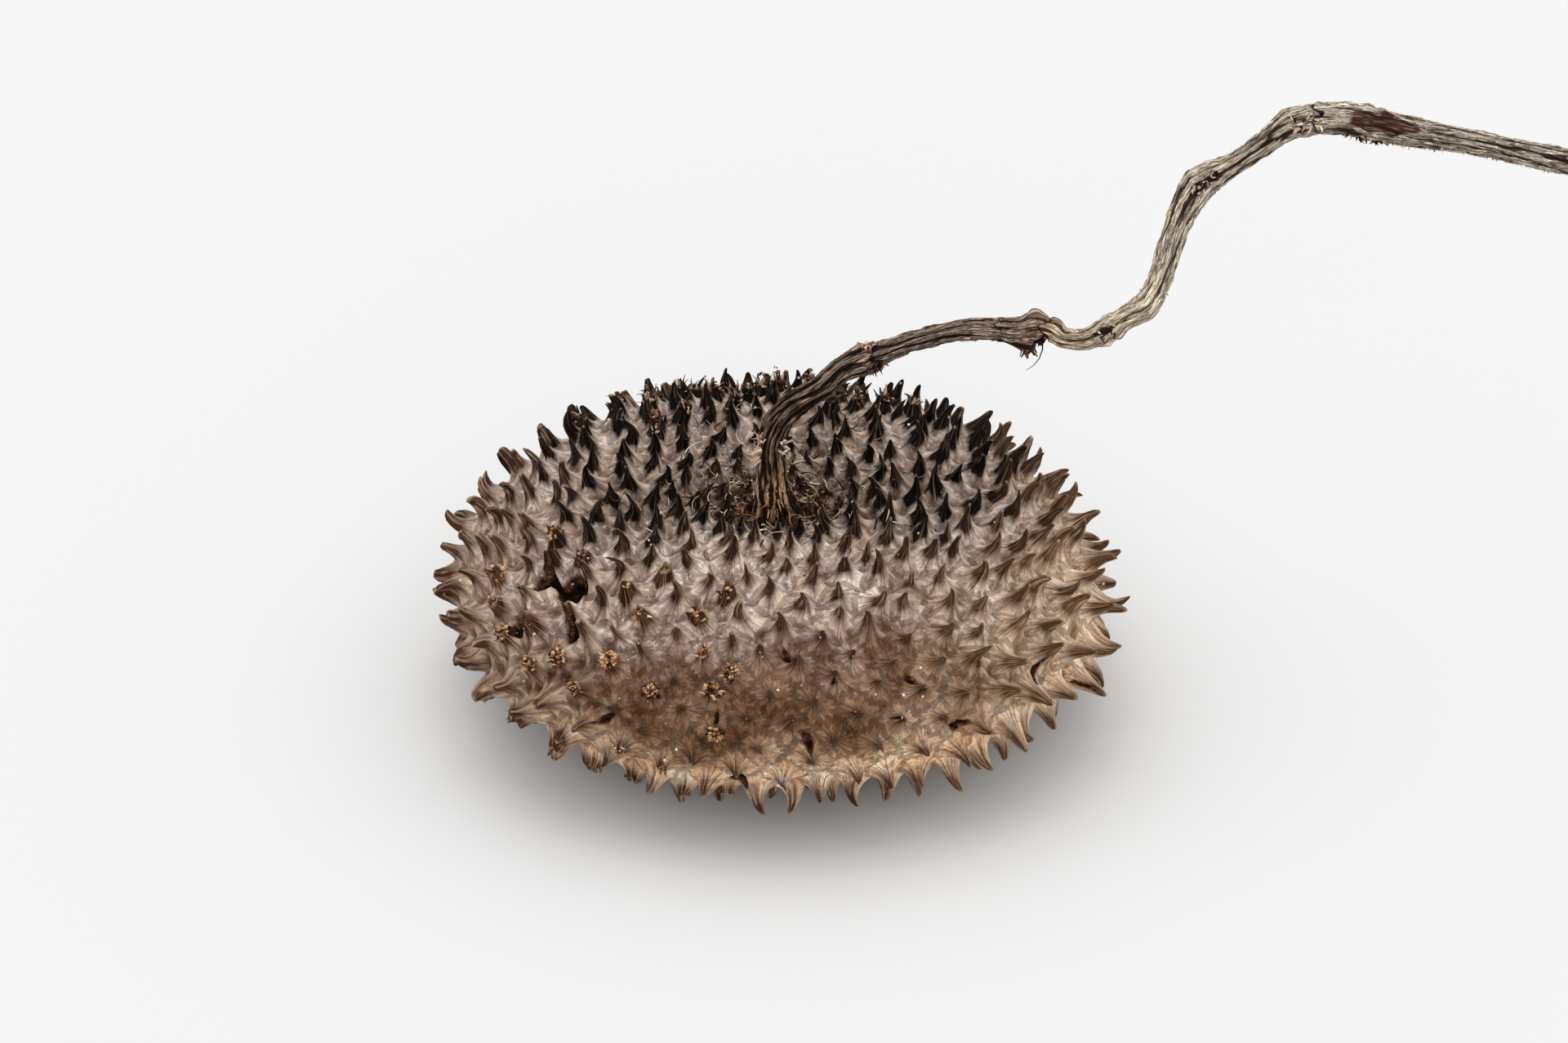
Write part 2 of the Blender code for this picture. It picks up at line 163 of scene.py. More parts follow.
# Slits and borer holes in the skin, mostly in front: azimuth in degrees, then height, length and
# width in mm, and turn
SLITS = [
    (238.5, 14.2, 2.6, 0.7, 0.9), (228.0, 10.9, 1.4, 0.9, 0.2), (275.7, 14.6, 1.5, 1.1, 1.3),
    (270.7, 9.7, 1.2, 0.9, 0.4), (271.7, 21.3, 1.6, 0.5, 1.4), (263.0, 8.6, 1.6, 1.0, 1.2),
    (284.0, 10.5, 1.9, 0.5, 0.3), (291.0, 15.5, 1.6, 0.45, -0.4), (297.0, 18.4, 1.3, 0.45, 0.2),
    (304.0, 13.0, 2.0, 0.55, 0.5), (311.0, 17.5, 1.2, 0.6, 0.9), (254.0, 12.0, 1.3, 0.45, -0.8),
    (247.0, 17.0, 1.4, 0.4, 0.6), (323.0, 15.0, 1.6, 0.5, 0.1), (259.0, 16.5, 1.2, 0.4, 1.5),
    (281.0, 19.0, 1.0, 0.4, -0.3), (334.0, 11.0, 1.3, 0.6, 0.8), (217.0, 9.0, 1.5, 0.5, 0.4),
    (120.0, 12.0, 1.7, 0.6, 0.4), (75.0, 15.0, 1.4, 0.5, 1.0), (150.0, 14.0, 1.6, 0.5, 0.2),
    (40.0, 10.0, 1.5, 0.6, 0.7), (100.0, 8.0, 1.3, 0.7, 0.0), (170.0, 9.5, 1.4, 0.6, 1.1),
]
SLIT_DEPTH = 0.75 * MM


def smooth_step(band, value):
    """0 below the band, 1 above it, and a smooth rise between."""
    low, high = band
    t = np.clip((value - low) / (high - low), 0.0, 1.0)
    return t * t * (3 - 2 * t)


def upper_skin(radius):
    """Height of the upper skin at a distance from the axis, with the dimple in it."""
    dome = CROWN_RISE * math.sqrt(max(0.0, 1 - (radius / BODY_RADIUS) ** 2))
    dimple = DIMPLE_DEPTH * math.exp(-((radius / DIMPLE_WIDTH) ** 2))
    return EQUATOR_HEIGHT + dome - dimple


def lower_skin(radius):
    """Height of the underside, which is flatter than a dome."""
    share = (radius / BODY_RADIUS) ** BASE_FULLNESS
    return EQUATOR_HEIGHT - BASE_DROP * max(0.0, 1 - share) ** (1 / BASE_FULLNESS)


def skin_profile():
    """Points (radius, height) from the socket's floor over the rim to the underside's middle."""
    seat = upper_skin(LIP_RADIUS)
    floor = seat - SOCKET_DEPTH
    mouth = SOCKET_RADIUS + SOCKET_DRAFT
    points = [(SOCKET_RADIUS * i / FLOOR_STEPS, floor) for i in range(FLOOR_STEPS)]
    for i in range(WALL_STEPS):
        rise = i / WALL_STEPS
        points.append((SOCKET_RADIUS + SOCKET_DRAFT * rise, floor + SOCKET_DEPTH * rise))
    points += [(mouth + (LIP_RADIUS - mouth) * i / WALL_STEPS, seat) for i in range(WALL_STEPS)]
    start = math.asin(LIP_RADIUS / BODY_RADIUS)
    for i in range(PROFILE_STEPS + 1):
        angle = start + (math.pi - start) * i / PROFILE_STEPS
        radius = BODY_RADIUS * math.sin(angle)
        height = upper_skin(radius) if angle < math.pi / 2 else lower_skin(radius)
        points.append((radius, height))
    return np.array(points)


class Skin:
    """The turned skin, measured along its profile, with a map to the unit sphere. Its
    methods take one place on the skin, or arrays of them."""

    def __init__(self):
        profile = skin_profile()
        self.radius, self.height = profile[:, 0], profile[:, 1]
        steps = np.hypot(np.diff(self.radius), np.diff(self.height))
        self.along = np.concatenate([[0.0], np.cumsum(steps)])
        middle = np.maximum((self.radius[1:] + self.radius[:-1]) / 2, 0.02 * MM)
        stretch = np.concatenate([[0.0], np.cumsum(steps / middle)])
        equator = int(np.argmax(self.radius))
        self.latitude = 2 * np.arctan(np.exp(stretch - stretch[equator]))
        self.latitude[0], self.latitude[-1] = 0.0, math.pi
        self.out = -np.gradient(self.height, self.along)
        self.up = np.gradient(self.radius, self.along)

    def on_sphere(self, along, azimuth):
        latitude = float(np.interp(along, self.along, self.latitude))
        flat = math.sin(latitude)
        return Vector((flat * math.cos(azimuth), flat * math.sin(azimuth), math.cos(latitude)))

    def along_of(self, directions):
        latitude = np.arccos(np.clip(directions[:, 2], -1.0, 1.0))
        return np.interp(latitude, self.latitude, self.along)

    def radius_at(self, along):
        return np.interp(along, self.along, self.radius)

    def height_at(self, along):
        return np.interp(along, self.along, self.height)

    def is_below(self, along):
        return self.height_at(along) < EQUATOR_HEIGHT

    def normal(self, along, azimuth):
        out, up = np.interp(along, self.along, self.out), np.interp(along, self.along, self.up)
        way = np.stack([out * np.cos(azimuth), out * np.sin(azimuth), up], axis=-1)
        return way / np.linalg.norm(way, axis=-1, keepdims=True)

    def point(self, along, azimuth):
        """The skin's points, with the slow lumps that a dried fruit has."""
        radius, height = self.radius_at(along), self.height_at(along)
        base = np.stack([radius * np.cos(azimuth), radius * np.sin(azimuth), height], axis=-1)
        below = self.is_below(along)
        fade = np.where(below, smooth_step(UNDER_BAND, radius), smooth_step(CROWN_LUMP_BAND, radius))
        lumps = np.array([noise.noise(Vector(p) / LUMP_SIZE) for p in base.reshape(-1, 3)])
        lumps = lumps.reshape(fade.shape) * fade * LUMP_HEIGHT
        return base + self.normal(along, azimuth) * lumps[..., None]


class Site:
    """One place on the skin: a spike's foot, or a plain corner with no height."""

    def __init__(self, along, azimuth, height=0.0, lean=(0.0, 0.0), broken=False):
        self.along, self.azimuth, self.height = along, azimuth, height
        self.lean, self.broken = lean, broken


def rests(skin, along):
    """True for the places whose spikes are worn level by the surface below."""
    return skin.is_below(along) and skin.radius_at(along) < REST_RADIUS


def spike_spacing(skin, along):
    radius = skin.radius_at(along)
    if skin.is_below(along):
        share = smooth_step(UNDER_BAND, radius)
        spacing = SPACING_UNDERNEATH + (SPACING_BELOW - SPACING_UNDERNEATH) * share
        return spacing + (SPACING_AT_RIM - spacing) * smooth_step(LOW_RIM_BAND, radius)
    share = smooth_step(STALK_BAND, radius)
    spacing = SPACING_BY_STALK + (SPACING_ON_SHOULDER - SPACING_BY_STALK) * share
    return spacing + (SPACING_AT_RIM - SPACING_ON_SHOULDER) * smooth_step(RIM_BAND, radius)


def worn_share(skin, along, azimuth):
    """How far the front's spikes are worn down: 1 in the middle of the patch, 0 outside it."""
    turn, height = azimuth % (2 * math.pi), skin.height_at(along)
    sideways = smooth_step(WORN_FROM, turn) * (1 - smooth_step(WORN_TO, turn))
    return sideways * smooth_step(WORN_ABOVE, height) * (1 - smooth_step(WORN_BELOW, height))


def spike_height(skin, along, azimuth):
    """Short round the stalk, longest on the rim on the free end's side, levelled underneath."""
    if rests(skin, along):
        return skin.height_at(along) + REST_OVERLAP
    radius = skin.radius_at(along)
    share = smooth_step(STALK_BAND, radius)
    height = HEIGHT_BY_STALK + (HEIGHT_ON_SHOULDER - HEIGHT_BY_STALK) * share
    if skin.is_below(along):
        height = HEIGHT_BELOW
    to_free_end = 0.6 + 0.4 * math.cos(azimuth)
    height += (HEIGHT_AT_RIM - height) * smooth_step(RIM_BAND, radius) * to_free_end
    height *= 1 + HEIGHT_VARIATION * random.uniform(-1, 1)
    height *= 1 - WORN_LOSS * worn_share(skin, along, azimuth)
    downwards = -skin.normal(along, azimuth)[2]
    if downwards > 0.05:
        height = min(height, (skin.height_at(along) - FLOOR_GAP) / downwards)
    return height


def is_broken(skin, along, azimuth):
    radius, turn, below = skin.radius_at(along), azimuth % (2 * math.pi), skin.is_below(along)
    if LEFT_PATCH[0] < turn < LEFT_PATCH[1]:
        nearest = LEFT_PATCH_BELOW_FROM if below else LEFT_PATCH_FROM
        return radius > nearest and random.random() < LEFT_PATCH_SHARE
    if BACK_PATCH[0] < turn < BACK_PATCH[1] and not below:
        inside = BACK_PATCH_BAND[0] < radius < BACK_PATCH_BAND[1]
        return inside and random.random() < BACK_PATCH_SHARE
    return False


def spike_sites(skin):
    """Sites in a golden-angle spiral over the skin, closer together by the stalk."""
    lip = FLOOR_STEPS + 2 * WALL_STEPS
    start = skin.along[lip] + 0.5 * MM
    end = skin.along[-1] - SCAR_RADIUS
    along = np.linspace(start, end, 4 * PROFILE_STEPS)
    middles = (along[1:] + along[:-1]) / 2
    rings = [2 * math.pi * skin.radius_at(a) for a in middles]
    cells = [math.sqrt(3) / 2 * spike_spacing(skin, a) ** 2 for a in middles]
    counted = np.concatenate([[0.0], np.cumsum(np.array(rings) / np.array(cells) * np.diff(along))])
    sites = []
    for i in range(int(counted[-1])):
        place = float(np.interp(i + 0.5, counted, along))
        azimuth = i * GOLDEN_ANGLE % (2 * math.pi)
        jitter = spike_spacing(skin, place) * SPACING_JITTER
        place = min(end, max(start, place + random.uniform(-1, 1) * jitter))
        azimuth += random.uniform(-1, 1) * jitter / skin.radius_at(place)
        height = spike_height(skin, place, azimuth)
        broken = is_broken(skin, place, azimuth)
        if broken:
            height *= BROKEN_HEIGHT
        lean = (random.uniform(-1, 1) * SPIKE_LEAN, random.uniform(-1, 1) * SPIKE_LEAN)
        lean = (0.0, 0.0) if rests(skin, place) else lean
        sites.append(Site(place, azimuth, height, lean, broken))
    return sites


def plain_sites(skin):
    """The socket's corners and the scar, which is a broad stub until it is worn level."""
    sites = [Site(0.0, 0.0), Site(skin.along[-1], 0.0, SCAR_HEIGHT)]
    floor_edge, mouth = skin.along[FLOOR_STEPS], skin.along[FLOOR_STEPS + WALL_STEPS]
    for i in range(SOCKET_SIDES):
        azimuth = 2 * math.pi * i / SOCKET_SIDES
        sites.append(Site(floor_edge, azimuth))
        sites.append(Site(mouth, azimuth + math.pi / SOCKET_SIDES))
    return sites


def tangents(normals):
    """Two directions along the skin at each normal: round the axis, and up or down the slope."""
    across = np.cross(normals, (0.0, 0.0, 1.0))
    length = np.linalg.norm(across, axis=1, keepdims=True)
    across = np.where(length > 1e-3, across / np.maximum(length, 1e-9), (1.0, 0.0, 0.0))
    return across, np.cross(normals, across)


def speckle(points, size):
    """Smooth noise from -1 to 1 at each point, with lumps of the size."""
    return np.array([noise.noise(Vector(p)) for p in points / size])


def torn_dent(skin, base):
    """How deep each point lies in a torn place, from 0 to 1, and how high on its curled lip."""
    dent, lip = np.zeros(len(base)), np.zeros(len(base))
    ragged = 1 + 0.45 * speckle(base, 1.2 * MM)
    upper = len(skin.radius) // 2
    for degrees, radius, size in TORN_PLACES:
        along = np.interp(radius, skin.radius[:upper], skin.along[:upper])
        middle = skin.point(np.array([along]), np.array([math.radians(degrees)]))
        away = np.linalg.norm(base - middle, axis=1) * ragged / size
        dent = np.maximum(dent, 1 - smooth_step((0.84, 1.0), away))
        above = smooth_step((-0.4 * size, 0.6 * size), base[:, 2] - middle[0, 2])
        lip = np.maximum(lip, np.exp(-(((away - 1.1) / 0.2) ** 2)) * above)
    return dent, lip


def slit_dent(base, normal):
    """How deep each point lies in a slit or hole, from 0 to 1."""
    dent = np.zeros(len(base))
    azimuth = np.degrees(np.arctan2(base[:, 1], base[:, 0])) % 360
    reach = np.hypot(base[:, 0], base[:, 1]) / MM
    for degrees, height, long, wide, turn in SLITS:
        sideways = np.radians((azimuth - degrees + 180) % 360 - 180) * reach
        upwards = (base[:, 2] / MM - height) / np.maximum(np.hypot(normal[:, 0], normal[:, 1]), 0.35)
        a = sideways * math.cos(turn) + upwards * math.sin(turn)
        b = upwards * math.cos(turn) - sideways * math.sin(turn)
        away = np.hypot(a / (long / 2), b / (wide / 2 + 0.12))
        dent = np.maximum(dent, np.where(reach > 15, 1 - smooth_step((0.5, 1.25), away), 0.0))
    return dent


def along_the_skin(ways, across, upslope):
    """Each way as a unit pair: how much of it goes across the slope, and how much along it."""
    flat = np.stack([(ways * across).sum(1), (ways * upslope).sum(1)], axis=1)
    return flat / np.maximum(np.linalg.norm(flat, axis=1, keepdims=True), 1e-9)


def nearest_feet(base, feet):
    """The nearest spike to each point and the one after it, and how far the nearest three are."""
    tree = kdtree.KDTree(len(feet))
    for index, foot in enumerate(feet):
        tree.insert(foot, index)
    tree.balance()
    found = [tree.find_n(p, 3) for p in base]
    indices = [np.array([f[k][1] for f in found]) for k in range(2)]
    return indices, [np.array([f[k][2] for f in found]) for k in range(3)]


class Corners:
    """The net's corners, one row each: where a corner lies on the skin, which spike it belongs
    to, and its share of the way from that spike's tip to the seam with the next one."""

    def __init__(self, skin, sites, directions):
        along = skin.along_of(directions)
        self.azimuth = np.arctan2(directions[:, 1], directions[:, 0])
        self.base, self.normal = skin.point(along, self.azimuth), skin.normal(along, self.azimuth)
        self.reach, self.below = skin.radius_at(along), skin.is_below(along)
        self.worn = worn_share(skin, along, self.azimuth)

        place = np.array([s.along for s in sites]), np.array([s.azimuth for s in sites])
        self.feet, site_normal = skin.point(*place), skin.normal(*place)
        across, upslope = tangents(site_normal)
        lean = np.array([s.lean for s in sites])
        ways = site_normal + across * lean[:, :1] + upslope * lean[:, 1:]
        self.ways = ways / np.linalg.norm(ways, axis=1, keepdims=True)
        grown = np.array([s.height for s in sites])
        torn_off = 0.95 * torn_dent(skin, self.feet)[0]
        self.tall = np.maximum(grown * (1 - torn_off), np.minimum(grown, 0.02 * MM))

        (own, following), (near, second, third) = nearest_feet(self.base, self.feet)
        self.foot, self.way, self.height = self.feet[own], self.ways[own], self.tall[own]
        self.across, self.upslope = across[own], upslope[own]
        self.plain, self.broken = grown[own] == 0.0, np.array([s.broken for s in sites])[own]
        draws = np.random.default_rng(SEED).uniform(-1, 1, (len(sites), 4))[own]
        self.bow, self.tone, self.turn = draws[:, :2], draws[:, 2], draws[:, 3]
        self.share = np.clip(2 * near / (near + second), 0.0, 1.0)
        self.web = np.maximum(0.0, 1 - (near + second) / (2 * third)) * (1 - 0.8 * self.worn)
        self.away = self.base - self.foot
        self.spoke = along_the_skin(self.away, self.across, self.upslope)
        self.outward = self.across * self.spoke[:, :1] + self.upslope * self.spoke[:, 1:]
        heading = along_the_skin(self.feet[following] - self.foot, self.across, self.upslope)
        self.facing_next = (heading * self.spoke).sum(1)


def spike_form(net):
    """How wide each corner's ring is, as a share of its foot's, and how far up the spike it is."""
    on_left = np.clip(-np.cos(net.azimuth), 0, 1) * smooth_step(LEFT_BAND, net.reach)
    to_rim = smooth_step(TIP_BAND, net.reach)
    tip = TIP_SHARE_BY_STALK + (TIP_SHARE_AT_RIM - TIP_SHARE_BY_STALK) * to_rim
    tip = np.where(net.below, TIP_SHARE_AT_RIM, tip) + TIP_SHARE_ON_LEFT * on_left
    tip *= (1 + 0.25 * net.turn) * (1 - 0.3 * net.worn)
    pinch = np.where(net.below, TIP_PINCH_BELOW, TIP_PINCH + TIP_PINCH_ON_LEFT * on_left)
    finger = tip * (1 - (1 - net.share) ** 6) + (1 - tip) * net.share**pinch
    stub = STUB_SHARE * smooth_step((0.0, 0.38), net.share) + (1 - STUB_SHARE) * net.share**3.4
    drawn = (1 - net.share**2) ** (FLARE + 1.2 * net.worn)
    ragged = 1 + 0.8 * speckle(np.column_stack([net.spoke * 2.6, net.tone * 40]), 1.0) * (1 - net.share)
    hollow = 1 - smooth_step((0.05, 0.36), net.share)
    torn_top = np.minimum(1.2, drawn / STUB_LEVEL) * ragged - 0.85 * hollow
    return np.where(net.broken, stub, finger), np.where(net.broken, torn_top, drawn)


def shaped_husk(skin, net):
    """Each corner's place, drawn up its spike, with the fine forms of a dried husk."""
    width, drawn = spike_form(net)
    net.fade = smooth_step(LIP_BAND, net.reach) * ~net.plain
    net.rise = np.where(net.plain, 0.0, np.clip(drawn, 0, 1) * np.clip(net.height / (1.5 * MM), 0, 1))
    net.seam = smooth_step(SEAM_WIDTH, net.facing_next) * smooth_step((0.1, 0.3), net.share)
    net.seam = net.seam * net.fade * (1 - 0.7 * net.broken) * (1 - 0.9 * net.worn)
    dent, lip = torn_dent(skin, net.base)
    slit = slit_dent(net.base, net.normal) * (1 - dent)
    net.torn = np.maximum(dent, slit)

    stretched = np.where(net.plain, 1.0, width / np.maximum(net.share, 1e-6))
    points = net.foot + net.away * stretched[:, None]
    points = np.where(net.plain[:, None], net.base, points)
    points += net.way * (net.height * drawn)[:, None]
    sway = (net.across * net.bow[:, :1] + net.upslope * net.bow[:, 1:]) * BOW
    points += sway * (net.height * 4 * drawn * (1 - drawn) * (1 - 0.8 * net.broken))[:, None]
    flank = smooth_step((0.1, 0.25), net.share) * (1 - smooth_step((0.6, 0.95), net.share))
    points += net.outward * (SEAM_PROUD * (net.seam - 0.35) * flank * ~net.plain)[:, None]

    around = np.arctan2(net.spoke[:, 1], net.spoke[:, 0])
    ribs = np.cos(RIB_COUNTS[0] * around + 9 * net.tone)
    ribs += 0.6 * np.cos(RIB_COUNTS[1] * around - 5 * net.turn)
    ribs = ribs * net.share * (1 - net.share) * 3
    wrinkles = speckle(net.base, WRINKLE_SIZE) + 0.5 * speckle(net.base, WRINKLE_SIZE / 2.3)
    swell = (WEB_HEIGHT * net.web - HOLLOW_DEPTH * (1 - drawn)) * net.share
    swell += RIB_HEIGHT * ribs + WRINKLE_HEIGHT * wrinkles * (0.4 + net.share)
    swell += SEAM_CREST * net.seam * smooth_step((0.45, 0.9), net.share)
    swell = swell * net.fade + TORN_LIP * lip - TORN_DEPTH * dent - SLIT_DEPTH * slit
    return points + net.normal * swell[:, None]


def husk_notes(net, points):
    """What the husk's finish reads from each corner, nearly all of it from 0 to 1."""
    front, upper = -np.sin(net.azimuth), ~net.below
    level = points[:, 2] + 2.5 * MM * speckle(net.base, 9 * MM)
    edge = DARK_RADIUS + DARK_BEHIND * np.clip(-front, 0, 1) ** 1.3
    edge += DARK_SIDEWAYS * np.cos(net.azimuth) ** 2
    patchy = 4 * MM * speckle(net.base, 7 * MM) + 2.5 * MM * net.tone
    # Painted highlight: the front lip, which faces the light, is kept lighter; it loses half the dark
    # colour and all the darker crown skin
    lit_front_lip = np.clip(front, 0, 1) ** 3 * smooth_step(LIP_HIGHLIGHT_BAND, net.reach)
    dark = (1 - smooth_step(DARK_EDGE, net.reach - edge + patchy)) * upper * (1 - 0.5 * lit_front_lip)
    # The front patch: brown worn skin, darkened further with painted shade because the front faces away
    # from the light above
    forward = np.clip(front + 0.3 * np.clip(-np.cos(net.azimuth), 0, 1), 0, 1)
    patch = forward**1.6 * smooth_step(PATCH_FOOT_BAND, level)
    patch *= 1 - smooth_step(PATCH_TOP_BAND, level + 1.5 * MM * net.tone)
    # The low band: warm tan skin, lightened partly as painted bounce light from the white floor
    low = 1 - smooth_step(LOW_BAND, level - 0.06 * points[:, 0])
    # Painted shade in the dimple's trough beside the stalk, towards the front
    trough_shade = np.cos(net.azimuth) ** 2 * (1 - smooth_step(TROUGH_SHADE_BAND, net.reach))
    trough_shade *= 1 - smooth_step(TROUGH_SHADE_FRONT_BAND, points[:, 1])
    behind = smooth_step(BEHIND_BAND, points[:, 1]) * (points[:, 2] > EQUATOR_HEIGHT) * 0.8
    # Darker skin on the dark crown and towards the back, with painted shade added in the trough
    grime_and_shade = 0.6 + 0.4 * speckle(net.base, 3 * MM) + 0.35 * trough_shade
    # Painted shade: the spikes' own dark colour reaches further on their front-left faces and in the
    # trough, as if shaded there
    shady = (net.outward * SHADY_SIDE).sum(1) * smooth_step((0.05, 0.3), net.share)
    spike_dark_and_shade = net.rise * (1 + 0.8 * shady) + 0.08 * (shady + trough_shade) * (net.height > 0)
    # Pale crests and ridges on the spikes: partly the husk's own paler edges, partly a painted rim
    # highlight
    ridge = smooth_step(RIDGE_WIDTH, net.facing_next) * smooth_step((0.04, 0.14), net.share)
    ridge *= (1 - smooth_step((0.45, 0.8), net.share)) * (1 - net.broken)
    ridge *= 0.4 + 0.6 * np.abs(net.turn)
    crest = net.seam * smooth_step((0.45, 0.7), net.share) * (0.3 + 0.7 * np.abs(net.tone))
    by_stalk = smooth_step(BY_STALK_BAND, net.reach + 3 * MM * speckle(net.base, 2 * MM))
    return {
        "rise": net.rise,
        "spike_dark_and_shade": np.clip(spike_dark_and_shade, 0, 1) * (1 - 0.35 * low),
        "ridge": ridge * (net.height > 0) * (1 - net.worn) * (1 - 0.65 * dark),
        "grime_and_shade": (1 - lit_front_lip) * grime_and_shade * np.maximum(dark, behind),
        "worn_and_shaded_front": patch,
        "share": np.where(net.plain, 1.0, net.share),
        "web": np.maximum(np.clip(net.web / 0.42, 0, 1) ** 4 * net.fade * 0.6, crest),
        "tone": net.tone,
        # The upper skin's cool grey tone, partly its own colour and partly a painted sheen of the light
        # above
        "crown": smooth_step(CROWN_BAND, level - 0.09 * points[:, 0] + 0.03 * points[:, 1]),
        "dark": dark,
        # Paler towards the free end: partly bleached skin, partly painted light from that side
        "bleached_and_lit_side": smooth_step(BLEACHED_AND_LIT_BAND, points[:, 0] + 4 * MM * speckle(net.base, 8 * MM)),
        "low": low,
        "by_stalk": (1 - by_stalk) * upper,
        "torn": net.torn,
        "stub": net.broken * (1 - smooth_step((0.2, 0.42), net.share)),
        "charred": (net.azimuth > 0) * 1.0,
    }


def move_and_note(bm, points, notes, ways_name, ways):
    """Moves each corner to its point, and keeps its notes and its way as attributes."""
    layers = {name: bm.verts.layers.float.new(name) for name in notes}
    way_layer = bm.verts.layers.float_vector.new(ways_name)
    bm.verts.ensure_lookup_table()
    for name, layer in layers.items():
        for vert, value in zip(bm.verts, notes[name].tolist()):
            vert[layer] = value
    for vert, point, way in zip(bm.verts, points.tolist(), ways.tolist()):
        vert.co, vert[way_layer] = point, way


def level_underside(bm):
    """Wears the lowest spikes flat, in the plane that the capsule rests on."""
    geometry = bm.verts[:] + bm.edges[:] + bm.faces[:]
    bmesh.ops.bisect_plane(
        bm, geom=geometry, dist=1e-7, plane_co=(0, 0, 0), plane_no=(0, 0, -1), clear_outer=True
    )
    bmesh.ops.holes_fill(bm, edges=[e for e in bm.edges if e.is_boundary], sides=0)


def finished_piece(bm, name, material):
    """Turns the bmesh into a smooth piece that rides with the object."""
    bmesh.ops.recalc_face_normals(bm, faces=bm.faces)
    mesh = bpy.data.meshes.new(name)
    bm.to_mesh(mesh)
    bm.free()
    mesh.shade_smooth()
    mesh.materials.append(material)
    piece = bpy.data.objects.new(name, mesh)
    bpy.context.scene.collection.objects.link(piece)
    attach(piece, "root")
    return piece


random.seed(SEED)
skin = Skin()
sites = spike_sites(skin) + plain_sites(skin)
bm = bmesh.new()
for site in sites:
    bm.verts.new(skin.on_sphere(site.along, site.azimuth))
bmesh.ops.convex_hull(bm, input=bm.verts)
bmesh.ops.subdivide_edges(bm, edges=bm.edges, cuts=FINE_CUTS, use_grid_fill=True)
corners = Corners(skin, sites, np.array([v.co.normalized() for v in bm.verts]))
points = shaped_husk(skin, corners)
spokes = np.column_stack([corners.spoke, 30 * corners.tone])
move_and_note(bm, points, husk_notes(corners, points), "spoke", spokes)
level_underside(bm)
bmesh.ops.triangulate(bm, faces=bm.faces)


def srgb(text):
    """An sRGB hex colour as linear red, green, blue and alpha."""
    parts = [int(text[i : i + 2], 16) / 255 for i in (1, 3, 5)]
    return (*[p / 12.92 if p <= 0.04045 else ((p + 0.055) / 1.055) ** 2.4 for p in parts], 1.0)


def new_finish(name):
    """A material, with its node tree and its shader."""
    material = bpy.data.materials.new(name)
    material.use_nodes = True
    return material, material.node_tree, material.node_tree.nodes["Principled BSDF"]


def add_node(tree, kind, inputs=None, out=None, ramp=(), **settings):
    """Adds a node with its settings, values and links, and gives back its output."""
    node = tree.nodes.new(kind)
    for name, value in settings.items():
        setattr(node, name, value)
    for i, (place, colour) in enumerate(ramp):
        stops = node.color_ramp.elements
        stop = stops[i] if i < len(stops) else stops.new(place)
        stop.position, stop.color = place, srgb(colour)
    for name, value in (inputs or {}).items():
        socket = next(s for s in node.inputs if name in (s.identifier, s.name))
        if isinstance(value, bpy.types.NodeSocket):
            tree.links.new(value, socket)
        else:
            socket.default_value = value
    return next(s for s in node.outputs if out is None or out in (s.identifier, s.name))


def lay_finish(tree, shader, colour, layers, relief, added, depth):
    """Lays each layer over the colour by its share, and raises a bump from the summed reliefs."""
    for share, over in layers:
        colour = add_node(
            tree, "ShaderNodeMix", {"Factor_Float": share, "A_Color": colour, "B_Color": over},
            "Result_Color", data_type="RGBA",
        )
    tree.links.new(colour, shader.inputs["Base Color"])
    for source, weight in added:
        relief = add_node(
            tree, "ShaderNodeMath", {"Value": source, "Value_001": weight, "Value_002": relief},
            "Value", operation="MULTIPLY_ADD",
        )
    bump = add_node(
        tree, "ShaderNodeBump", {"Strength": 1.0, "Distance": depth, "Height": relief}, "Normal"
    )
    tree.links.new(bump, shader.inputs["Normal"])


# Sun-dried husk: matt, leathery plant skin. Cool grey-brown above, partly with a painted sheen,
# a brown worn patch in front, darkened further with painted shade, and warm tan below, partly
# lightened with painted bounce light; paler on the free end's side, partly bleached and partly
# painted light. Fine dark fibres run up every spike. The crown's spikes are near-black, with
# painted shade on their front-left faces and in the trough; pale crests carry a painted
# highlight, and the deepest torn places and slits are blackened with painted shade. There are
# stains, specks, dust and worn pale tips.
husk, tree, shader = new_finish("sun_dried_husk")
place = add_node(tree, "ShaderNodeTexCoord", out="Object")
note = {
    name: add_node(tree, "ShaderNodeAttribute", attribute_name=name, out="Fac")
    for name in (
        "rise", "spike_dark_and_shade", "ridge", "share", "web", "tone", "crown", "dark", "grime_and_shade", "bleached_and_lit_side",
        "low", "worn_and_shaded_front", "by_stalk", "torn", "stub", "charred",
    )
}
spoke = add_node(tree, "ShaderNodeAttribute", attribute_name="spoke", out="Vector")
noises = {
    name: add_node(
        tree, "ShaderNodeTexNoise",
        {"Vector": where, "Scale": scale, "Detail": detail, "Roughness": 0.72}, "Fac",
    )
    for name, where, scale, detail in (
        ("blotch", place, 1 / (4.5 * MM), 7.0), ("stain", place, 1 / (1.15 * MM), 6.0),
        ("grain", place, 1 / (0.5 * MM), 4.0), ("grit", place, 1 / (0.24 * MM), 3.0),
        ("fibres", spoke, 7.0, 3.0), ("threads", spoke, 17.0, 2.0),
    )
}
dust = add_node(
    tree, "ShaderNodeTexVoronoi", {"Vector": place, "Scale": 1 / (1.5 * MM)}, "Distance"
)
